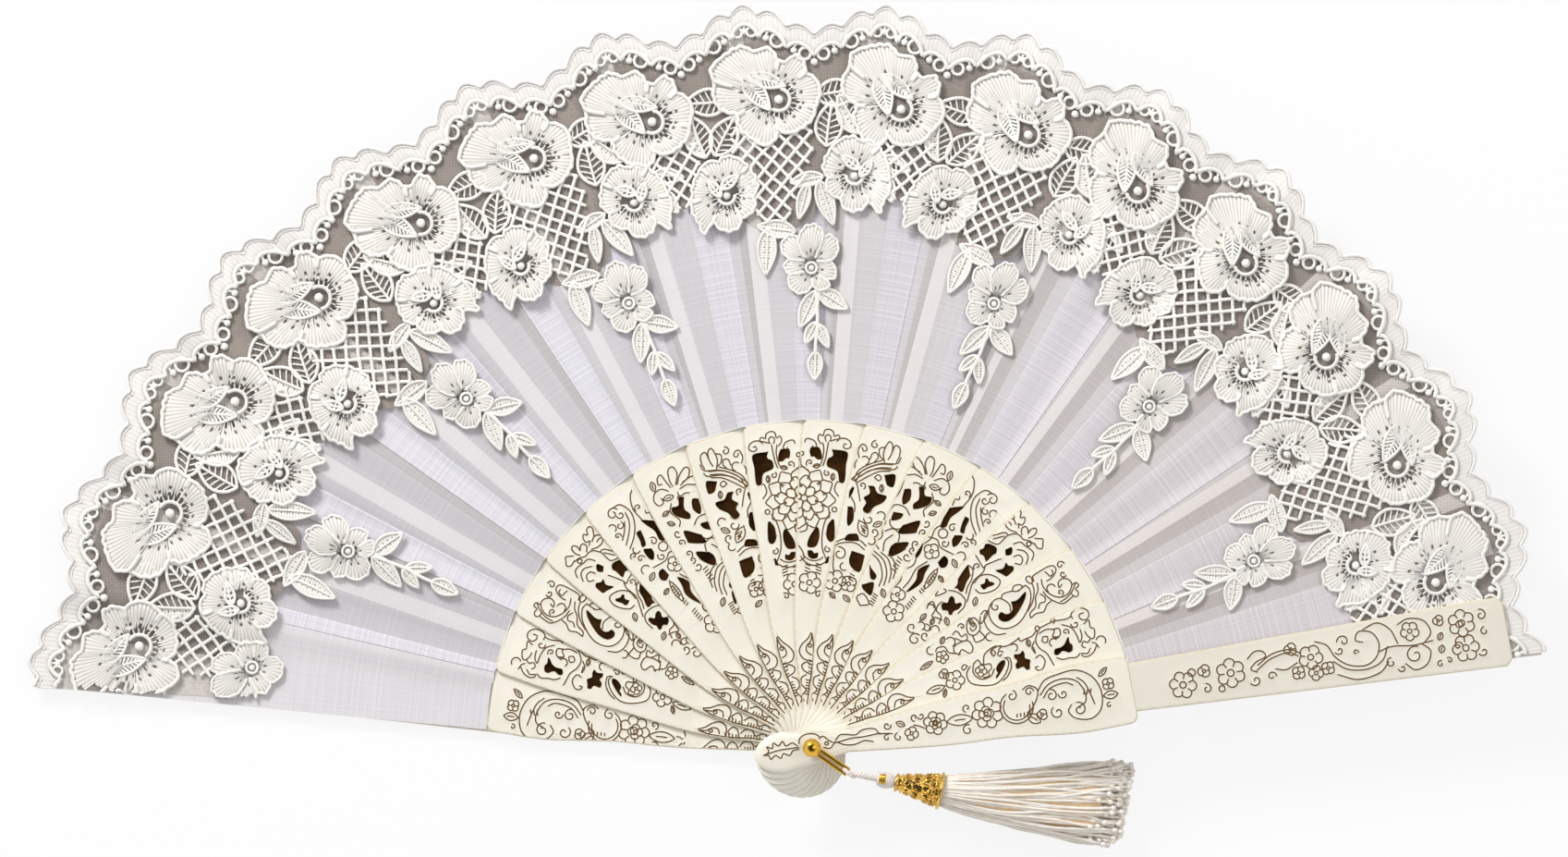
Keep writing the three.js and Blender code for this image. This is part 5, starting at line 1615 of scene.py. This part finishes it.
# leaves beside each drop: angle from the drop, radius, length, width, turn and filled side
sideLeafPlaces = [(5.3, 150.4, 14, 5.4, 262, 2), (4, 157, 11.5, 5, 168, 2), (-1.4, 164.6, 14, 5, -70, 2),
                  (1.0, 165, 11, 3.6, 255, 2), (0.6, 171.6, 10, 4, 190, 2), (-7.6, 170.6, 9, 4.4, -65, 2),
                  (-8.2, 178, 9, 4.4, -20, 1)]


def sideLeaves(drop):
    for delta, radius, long, wide, turn, fill in sideLeafPlaces:
        laceLeaf(Spot(drop, delta, radius), 0, 0, long, wide, turn, fill)


def archRadius(angle):
    # the corded line inside the border, with one round arch under each scallop
    turn = lobeTurn(angle)
    bump = np.cos(turn * np.pi) ** 2
    arch = np.abs(np.cos(turn * np.pi * lace["scallops"])) ** 0.5
    return lace["valley"] + lace["bump"] * bump + lace["arch"] * arch - lace["archBack"]


def archCurls(spot, number):
    # rings and beads that hang from one arch
    side = 1 if number < 2 else -1
    if number == 2:
        for u in (-2.1, 2.1):
            ring(spot, u, -2.5, 1.4, 0.95, 0.35)
        beads = [(0, -2.2, 1.0)]
    else:
        ring(spot, -1.3 * side, -3.1, 1.75 + 0.25 * (number % 2), 1.05, 0.35)
        beads = [(2.1 * side, -2.1, 1.05)]
    for u, v, radius in beads:
        cord(spot, [(u * 0.4, 0.1), (u * 0.8, -0.6), (u, v + 0.4)], 0.9, 0.8, 0.35)
        ball(spot, u, v, radius, 0.35)


# the cords along the border: share of its width, thickness, height, every so many points, finish
borderCords = [(0.07, 1.25, 0.1, 2, 2), (0.26, 0.45, 0.5, 3, 2), (1, 1.5, 0.35, 2, 0)]
# the band itself: share of its width, and height
bandRows = [(0.04, 0.25), (0.15, 0.5), (0.35, 0.6), (0.6, 0.55), (0.85, 0.5), (1.05, 0.2)]


def rimBand():
    # the scalloped border, from edge to edge of the leaf, and the curled cord inside it
    left, right = lace["borderEnds"]
    angles = np.arange(right, left, lace["bandStep"])
    outer, inner, factor = laceRim(angles), archRadius(angles), stretch(angles)
    place = np.stack([np.cos(np.radians(angles)), np.sin(np.radians(angles))], 1)
    points = np.zeros((len(bandRows), len(angles), 3))
    stripe = np.where(np.arange(len(angles)) % 3 < 1, 1, -1)

    def lineAt(share):
        return place * ((outer + (inner - outer) * share) * factor)[:, None]

    for i, (share, height) in enumerate(bandRows):
        points[i, :, :2] = lineAt(share)
        points[i, :, 2] = height + 0.05 * stripe * (0 < i < len(bandRows) - 1)
    under = points.copy()
    under[:, :, 2] = 0.02
    quads = gridQuads(len(bandRows), len(angles), False)
    # the lower stripes and the band's underside are painted in shade
    embroidery.add(points.reshape(-1, 3), quads, 2, np.tile(0.17 - 0.09 * stripe, len(bandRows)))
    embroidery.add(under.reshape(-1, 3), quads[:, ::-1], 2, 0.5)
    for share, width, base, every, kind in borderCords:
        cord(None, lineAt(share)[::every], width, width * 0.85, base, beads=0.15, kind=kind)
    pitch = lace["pitch"] / 2
    for n in range(-6, 71):
        angle = lace["lobeMiddle"] - n * pitch / lace["scallops"]
        if not right < angle < left:
            continue
        number = (n + 2) % lace["scallops"]
        archCurls(Spot(angle, 0, float(archRadius(angle))), number)
        if number == 4:
            between = angle - pitch / 10
            ball(Spot(between, 0, float(archRadius(between)) - 0.9), 0, 0, 1.15, 0.3)


def makeEmbroidery():
    for i in range(-1, lace["drops"]):
        drop = lace["firstDrop"] - lace["pitch"] * i
        bigFlower(Spot(drop, -7.0, 196.4, rng.uniform(-18, -8)))
        trellis(drop, *trellises[1])
        trios(drop)
        if i < 0:
            doubleBlossom(Spot(drop, -6.6, 164, 40))
            continue
        bigFlower(Spot(drop, 4.0, 197, rng.uniform(-3, 7)))
        trellis(drop, *trellises[0])
        smallFlower(Spot(drop, 8.9, 169.5, rng.uniform(-10, 10)), -1)
        smallFlower(Spot(drop, -4.2, 174, rng.uniform(-6, 10)), 1)
        sideLeaves(drop)
        doubleBlossom(Spot(drop, 0.3, 148))
        hangingSpray(drop)
    rimBand()
    print("embroidery drawn:", embroidery.count, "points")


def insideLeaf(points):
    # whether the embroidery's points lie between the leaf's left and right edges
    angle = np.degrees(np.arctan2(points[:, 1], points[:, 0]))
    radius = np.hypot(points[:, 0], points[:, 1])
    beyond = [np.clip((start + grow * (radius - fan["leafInner"])) / radius, -1, 1)
              for start, grow in (fan["leftEdge"], fan["rightEdge"])]
    left, right = np.degrees(np.arcsin(beyond))
    return (angle < stickAngle(0) + left) & (angle > stickAngle(lastBody) - right)


# where the net's columns lie across a gore
tulleShares = (0, 0.066, 0.14, 0.24, 0.36, 0.5, 0.6, 0.72, 0.87, 0.934, 1)


def tulleColumns(gore):
    columns = [(shareAngle(gore, share), 0, 0) for share in tulleShares]
    if gore == 1:
        columns[0] = (edgeAngle(0, fan["leftEdge"]), 0, 0)
        columns.insert(1, (shareAngle(1, 0), 0, 0))
    if gore == lastBody:
        columns.append((edgeAngle(gore, tuple(-v for v in fan["rightEdge"])), 0, 0))
    return columns


# how far out the net starts, by the angle from a drop's middle
tulleEdge = [(-13.5, 164), (-12, 168), (-9, 167.5), (-6.5, 170), (-4.2, 168), (-0.8, 170), (0, 160),
             (2.2, 157), (6.5, 158), (8.9, 164)]


def tulleInner(angle):
    # inner edge of the net, under the flowers
    start = tulleEdge[0][0]
    delta = (angle - lace["firstDrop"] - start) % lace["pitch"] + start
    return float(np.interp(delta, *zip(*tulleEdge)))


def makeTulle(gore, finishes):
    rows = lace["tulleRows"]
    columns = tulleColumns(gore)
    fine = []
    for left, right in zip(columns, columns[1:]):
        for t in (0, 1 / 3, 2 / 3):
            fine.append((lambda r, a=left[0], b=right[0], t=t: a(r) + (b(r) - a(r)) * t, 0, 0))
    fine.append(columns[-1])
    top = []
    for i in range(rows):
        for angleAt, _, _ in fine:
            angle = angleAt(lace["middle"])
            far = float(laceRim(angle)) - lace["tulleInset"]
            r = tulleInner(angle) + (far - tulleInner(angle)) * i / (rows - 1)
            angle = angleAt(r)
            radius = r * float(stretch(angle))
            x, y = polar(angle, radius)
            height = float(pleatHeight(angle, radius, True)) + fan["clothThickness"] + lace["tulle"]
            top.append((x, y, height))
    count = len(fine)
    faces = gridFaces(rows, count)
    overSlip = [c < 3 or c >= count - 4 for c in range(count - 1)] * (rows - 1)
    made = makeObject(f"lace_{gore:02d}_net", top, faces, finishes, [int(on) for on in overSlip], smooth=180)
    return made, flatSize(top), flatArea(top, faces)


def makeLace():
    makeEmbroidery()
    points = np.vstack(embroidery.points)
    faces = np.vstack(embroidery.faces)
    kinds, depths = np.concatenate(embroidery.kinds), np.concatenate(embroidery.depths)
    inside = insideLeaf(points)
    keep = inside[faces].all(axis=1)
    faces, kinds = faces[keep], kinds[keep]
    angle = np.degrees(np.arctan2(points[:, 1], points[:, 0]))
    radius = np.hypot(points[:, 0], points[:, 1])
    level = pleatHeight(angle, radius, True) + fan["clothThickness"] + lace["gap"] + lace["tulle"]
    # the stitches are flatter where the front guard lies over them, open or closed
    room = np.clip((lace["ceiling"] - level) / points[:, 2].max(), 0.25, 1)
    placed = np.column_stack([points[:, :2], points[:, 2] * room + level])
    middle = angle[faces].mean(axis=1)
    gores = np.clip(((fan["rearAngle"] - middle) / fan["foldStep"]).astype(int), 0, lastBody - 1)
    for gore in range(1, lastBody + 1):
        chosen = faces[gores == gore - 1]
        used, index = np.unique(chosen, return_inverse=True)
        made = makeObject(f"lace_{gore:02d}_stitched", placed[used], index.reshape(chosen.shape).tolist(),
                          [laceCord, laceSatin, laceBand], kinds[gores == gore - 1], smooth=180)
        # each point's painted shade, which the lace finishes read
        addNumbers(made, "depth", depths[used])
        net, size, area = makeTulle(gore, [tulleNet, tulleOverSlip])
        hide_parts(f"lace_{gore:02d}")
        for piece in (made, net):
            goreBlend(piece, gore)
    print("lace laid on the leaf:", len(faces), "faces")


makeLace()

# rivet, bail and tassel

fitting = {
    "pinRadius": 1.1,
    "pinLow": 0.1,
    "pinHigh": 26.2,
    "pinHead": [(2.5, 0), (2.6, 0.35), (2.1, 0.9), (1.1, 0.95)],
    "ballRadius": 2.8,
    "ballZ": 29.1,
    "bailTurn": -34.4,
    "bailZ": 26.4,
    "bailRise": 0.9,
    "bailWide": 0.8,
    "bailReach": 13.0,
    "bailWire": 0.66,
    "tasselTurn": -11.5,
}


def circle(sides, start=0.0):
    return [fullTurn * j / sides + start for j in range(sides)]


def roundSolid(name, profile, sides):
    # turned solid: profile is (radius, z) from the bottom up
    points = [(*around(0, 0, radius, a), z) for radius, z in profile for a in circle(sides)]
    return makeObject(name, points, gridFaces(len(profile), sides, True), [gold], smooth=40)


def makeRivet():
    low, high, r = fitting["pinLow"], fitting["pinHigh"], fitting["ballRadius"]
    rows = [(radius, low + lift) for radius, lift in fitting["pinHead"]]
    rows += [(fitting["pinRadius"], high), (0.01, high)]
    pin = roundSolid("rivet_pin_turned", [(0.01, low)] + rows, 32)
    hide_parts("rivet_pin")
    ballProfile = [(0.01, fitting["ballZ"] - r)]
    for a in range(-80, 91, 10):
        ballProfile.append((max(0.01, r * math.cos(radians(a))), fitting["ballZ"] + r * math.sin(radians(a))))
    head = roundSolid("rivet_ball_turned", ballProfile, 40)
    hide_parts("rivet_ball")
    for piece in (pin, head):
        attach(piece, "rear_guard")


def tubeAlong(path, radii, sides, twist=0.0):
    # closed tube along a path in space; radii may be one number or one for each point
    path = np.asarray(path, float)
    up = np.array([0.0, 0.0, 1.0])
    points = []
    for i, (p, t, radius) in enumerate(zip(path, directions(path), np.broadcast_to(radii, len(path)))):
        side = np.cross(t, up)
        if np.linalg.norm(side) < 1e-3:
            side = np.array([1.0, 0, 0])
        side /= np.linalg.norm(side)
        other = np.cross(side, t)
        for a in circle(sides, twist * i):
            points.append(p + radius * (side * math.cos(a) + other * math.sin(a)))
    return points, gridFaces(len(path), sides, True) + tubeEnds(len(path), sides)


def tubeEnds(rows, sides):
    return [tuple(range(sides))[::-1], tuple((rows - 1) * sides + j for j in range(sides))]


def twistedCord(pile, path, radius, plies, pitch):
    # plies wound around each other along a path
    path = smoothPath(path, 0.35)
    for ply in range(plies):
        line = []
        for p, t, s in zip(path, directions(path), lengthAlong(path)):
            side = np.cross(t, (0, 0, 1.0))
            side /= max(np.linalg.norm(side), 1e-6)
            other = np.cross(side, t)
            a = fullTurn * (s / pitch + ply / plies)
            line.append(p + radius * 0.5 * (side * math.cos(a) + other * math.sin(a)))
        pile.add(*tubeAlong(line, radius * 0.56, 7))


def makeBail():
    # a slim double wire that runs out from the ball's neck
    half, z, far = fitting["bailWide"], fitting["bailZ"], fitting["bailReach"]
    loop = [(*around(0, 0, half * 1.1, radians(a)), z) for a in range(120, 241, 15)]
    loop += [(*around(far - half, 0, half, radians(a)), z + fitting["bailRise"]) for a in range(-90, 91, 15)]
    path = [(*turned(x, y, radians(fitting["bailTurn"])), h) for x, y, h in loop + loop[:1]]
    points, faces = tubeAlong(smoothPath(path, 0.4), fitting["bailWire"], 10)
    bail = makeObject("bail_wire", points, faces, [gold], smooth=60)
    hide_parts("bail")
    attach(bail, "bail")


makeRivet()
makeBail()

tassel = {
    "end": (13.55, 27.4),
    "loop": (1.75, 0.7, 1.6),  # radius, thickness and pitch of the twist
    "neckRadius": 0.95,
    "neckPitch": 2.6,
    "knotStart": 8.6,
    "knotLength": 5.6,
    "knotRadius": 2.6,
    "knotTurns": 8,
    "capStart": 14.5,
    "capLength": 14,
    "capMouth": 5.4,
    "capRings": [(0.02, 1.0), (0.13, 0.5), (0.86, 0.5), (0.98, 1.1)],
    "openings": [(0.24, 9, 0.62, 0), (0.45, 10, 0.85, 0.5), (0.68, 12, 0.8, 0)],
    "arcs": 14,
    "drop": 2.4,
    "slope": 0.3,
    "length": 58,
    "halfWidth": 13.2,
    "halfHeight": 5.4,
    "bend": 7,
    "sag": 3,
    "skirtSlope": 0.16,
    "inside": 1.4,
    "tucked": 1.5,
    "strands": 250,
    "strandRadius": 0.47,
    "endKnot": [(-1.1, 0.35), (-0.8, 0.75), (-0.2, 0.85), (0.3, 0.6), (0.5, 0.3)],
}


def tasselSlope(x):
    # height of the tassel's own line
    return -tassel["drop"] - max(0, x - tassel["knotStart"]) * tassel["slope"]


def inTassel(points):
    # from the tassel's own frame, which starts at the bail's end, to the fan's
    reach, high = tassel["end"]
    origin = around(0, 0, reach, radians(fitting["bailTurn"]))
    return [(*turned(x, y, radians(fitting["tasselTurn"]), origin), high + z) for x, y, z in points]


def onRound(x, radius, turn):
    # a point around the tassel's own line, which sinks towards the mouth of the cap
    return x, radius * math.cos(turn), tasselSlope(x) + radius * math.sin(turn)


def finishTassel(pile, name, cad, finishes, smooth=50):
    made = makeObject(name, inTassel(pile.points), pile.faces, finishes, pile.kinds, smooth=smooth)
    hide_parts(cad)
    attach(made, "tassel")


def makeTasselCord():
    pile = Pile()
    turn = radians(fitting["bailTurn"] - fitting["tasselTurn"])
    reach, thickness, pitch = tassel["loop"]
    loop, steps = [], 24
    for i in range(steps + 1):
        x, z = around(0, 0, reach, fullTurn * i / steps)
        loop.append((*around(0, 0, x, turn), z))
    twistedCord(pile, loop, thickness, 2, pitch)
    neck = [(1.6, 0, 0), (3.6, 0.1, -0.2), (6, 0, -1.1), (8.9, 0, -2.4)]
    twistedCord(pile, neck, tassel["neckRadius"], 3, tassel["neckPitch"])
    finishTassel(pile, "tassel_cord_twisted", "tassel_cord", [silkCord], 180)


def makeTasselKnot():
    pile = Pile()
    start, long, radius = tassel["knotStart"], tassel["knotLength"], tassel["knotRadius"]
    turns, steps = tassel["knotTurns"], 24

    def wound(i, lift):
        t = i / (turns * steps)
        r = radius * (0.62 + 0.38 * math.sin(math.pi * (0.1 + 0.85 * t))) - 0.42 + lift
        return onRound(start + 0.3 + (long - 0.6) * t, r, fullTurn * i / steps)

    pile.add(*tubeAlong([wound(i, 0) for i in range(turns * steps + 1)], 0.42, 6), 0)
    for turn in range(1, 4):
        pile.add(*tubeAlong([wound(turn * steps + i, 0.16) for i in range(3, 9)], 0.4, 6), 2)
    core = [(start + t * long, 0, tasselSlope(start + t * long)) for t in np.linspace(0.05, 1.3, 8)]
    pile.add(*tubeAlong(core, 1.5, 14), 1)
    finishTassel(pile, "tassel_knot_wrapped", "tassel_knot", [silkCord, silkShade, gold], 180)


def makeTasselCap():
    pile = Pile()
    start, long, mouth = tassel["capStart"], tassel["capLength"], tassel["capMouth"]
    small = tassel["knotRadius"] - 0.2

    def radiusAt(t):
        return small + (mouth - small) * t ** 0.85

    def onCap(t, turn, lift):
        return onRound(start + long * t, radiusAt(t) + lift, turn)

    sides, rows, corners = 40, 10, 12
    shell = [onCap(t, a, -0.35) for t in np.linspace(0, 1, rows) for a in circle(sides)]
    pile.add(shell, gridFaces(rows, sides, True), 0)
    for t, width in tassel["capRings"]:
        x, radius = start + long * t, radiusAt(t) - 0.1
        pile.add(*tubeAlong([onRound(x, radius, fullTurn * i / 36) for i in range(37)], width / 2, 6), 0)
    # each opening is a dark disc under a wire rim: painted shade where the cap is open
    for t, count, size, lift in tassel["openings"]:
        for j in range(count):
            middle = fullTurn * (j + lift) / count
            disc, rim = [onCap(t, middle, -0.2)], []
            for a in circle(corners):
                swell = size * (1 + 0.15 * math.cos(3 * a + j))
                place = (t + swell * math.cos(a) / long, middle + 0.8 * swell * math.sin(a) / radiusAt(t))
                disc.append(onCap(*place, -0.22))
                rim.append(onCap(*place, -0.12))
            pile.add(disc, [(0, i + 1, (i + 1) % corners + 1) for i in range(corners)], 1)
            pile.add(*tubeAlong(rim + rim[:1], 0.2, 5), 0)
    arcs = tassel["arcs"]
    for middle in circle(arcs):
        path = [onCap(0.83 + 0.05 * math.sin(a), middle + math.pi / arcs * a / math.pi, -0.1)
                for a in np.linspace(0, 6.28, 9)]
        pile.add(*tubeAlong(path, 0.22, 5), 0)
    finishTassel(pile, "tassel_cap_filigree", "tassel_cap", [goldCast, goldHoleShade], 60)


def skirtMiddle(length, t):
    # how far the skirt's middle has bent aside and sunk, at a share of the length
    origin = tasselSlope(tassel["capStart"] + tassel["capLength"])
    bend = math.sin(radians(tassel["bend"])) * length * t ** 1.4
    return bend, origin - tassel["sag"] * math.sin(t * math.pi / 2) - length * t * tassel["skirtSlope"]


def makeTasselSkirt():
    pile = Pile()
    root = tassel["capStart"] + tassel["capLength"] - tassel["tucked"]
    golden = math.pi * (3 - math.sqrt(5))
    inner, thick = tassel["capMouth"] - tassel["inside"], tassel["strandRadius"]
    stops = np.linspace(0, 1, 14)

    def halves(t):
        return [inner + (tassel[half] - inner) * t ** 0.8 for half in ("halfWidth", "halfHeight")]

    for s in range(tassel["strands"]):
        share = math.sqrt((s + 0.5) / tassel["strands"])
        ux, uz = math.cos(s * golden) * share, math.sin(s * golden) * share
        length = tassel["length"] * (1 - 0.17 * rng.random() ** 1.3)
        phase, swing = rng.uniform(0, 6.28), rng.uniform(0.2, 1.3) + 1.6 * (rng.random() < 0.08)
        path = []
        for t in stops:
            (wide, high), (bend, level) = halves(t), skirtMiddle(length, t)
            y = ux * wide + bend + swing * math.sin(t * 7 + phase) * t
            path.append((root + length * t, y, level + uz * high + 0.25 * math.sin(t * 9 + phase)))
        radii = [thick * (0.7 + 0.3 * min(1, t * 3)) for t in stops]
        radii[-2] = thick * 1.1
        pile.add(*tubeAlong(path, radii, 6, 0.5), s % 2)
        end, before = np.array(path[-1]), np.array(path[-2])
        step = (end - before) / np.linalg.norm(end - before)
        knot = [end + step * away for away, _ in tassel["endKnot"]]
        pile.add(*tubeAlong(knot, [radius for _, radius in tassel["endKnot"]], 7), s % 2)
    # a tan body fills the skirt between its strands: the inner threads in painted shade
    rings, sides, body = 14, 28, []
    for t in np.linspace(0, 0.86, rings):
        wide, high = (0.88 * half for half in halves(t))
        bend, level = skirtMiddle(tassel["length"], t)
        for j, a in enumerate(circle(sides)):
            swell = 1 + 0.05 * (-1) ** j
            body.append((root + tassel["length"] * t, bend + wide * swell * math.cos(a),
                         level + high * swell * math.sin(a)))
    pile.add(body, gridFaces(rings, sides, True) + tubeEnds(rings, sides), 2)
    finishTassel(pile, "tassel_skirt_strands", "tassel_skirt", [silk, silkShade, silkGapShade], 180)


makeTasselCord()
makeTasselKnot()
makeTasselCap()
makeTasselSkirt()
print("tassel made")
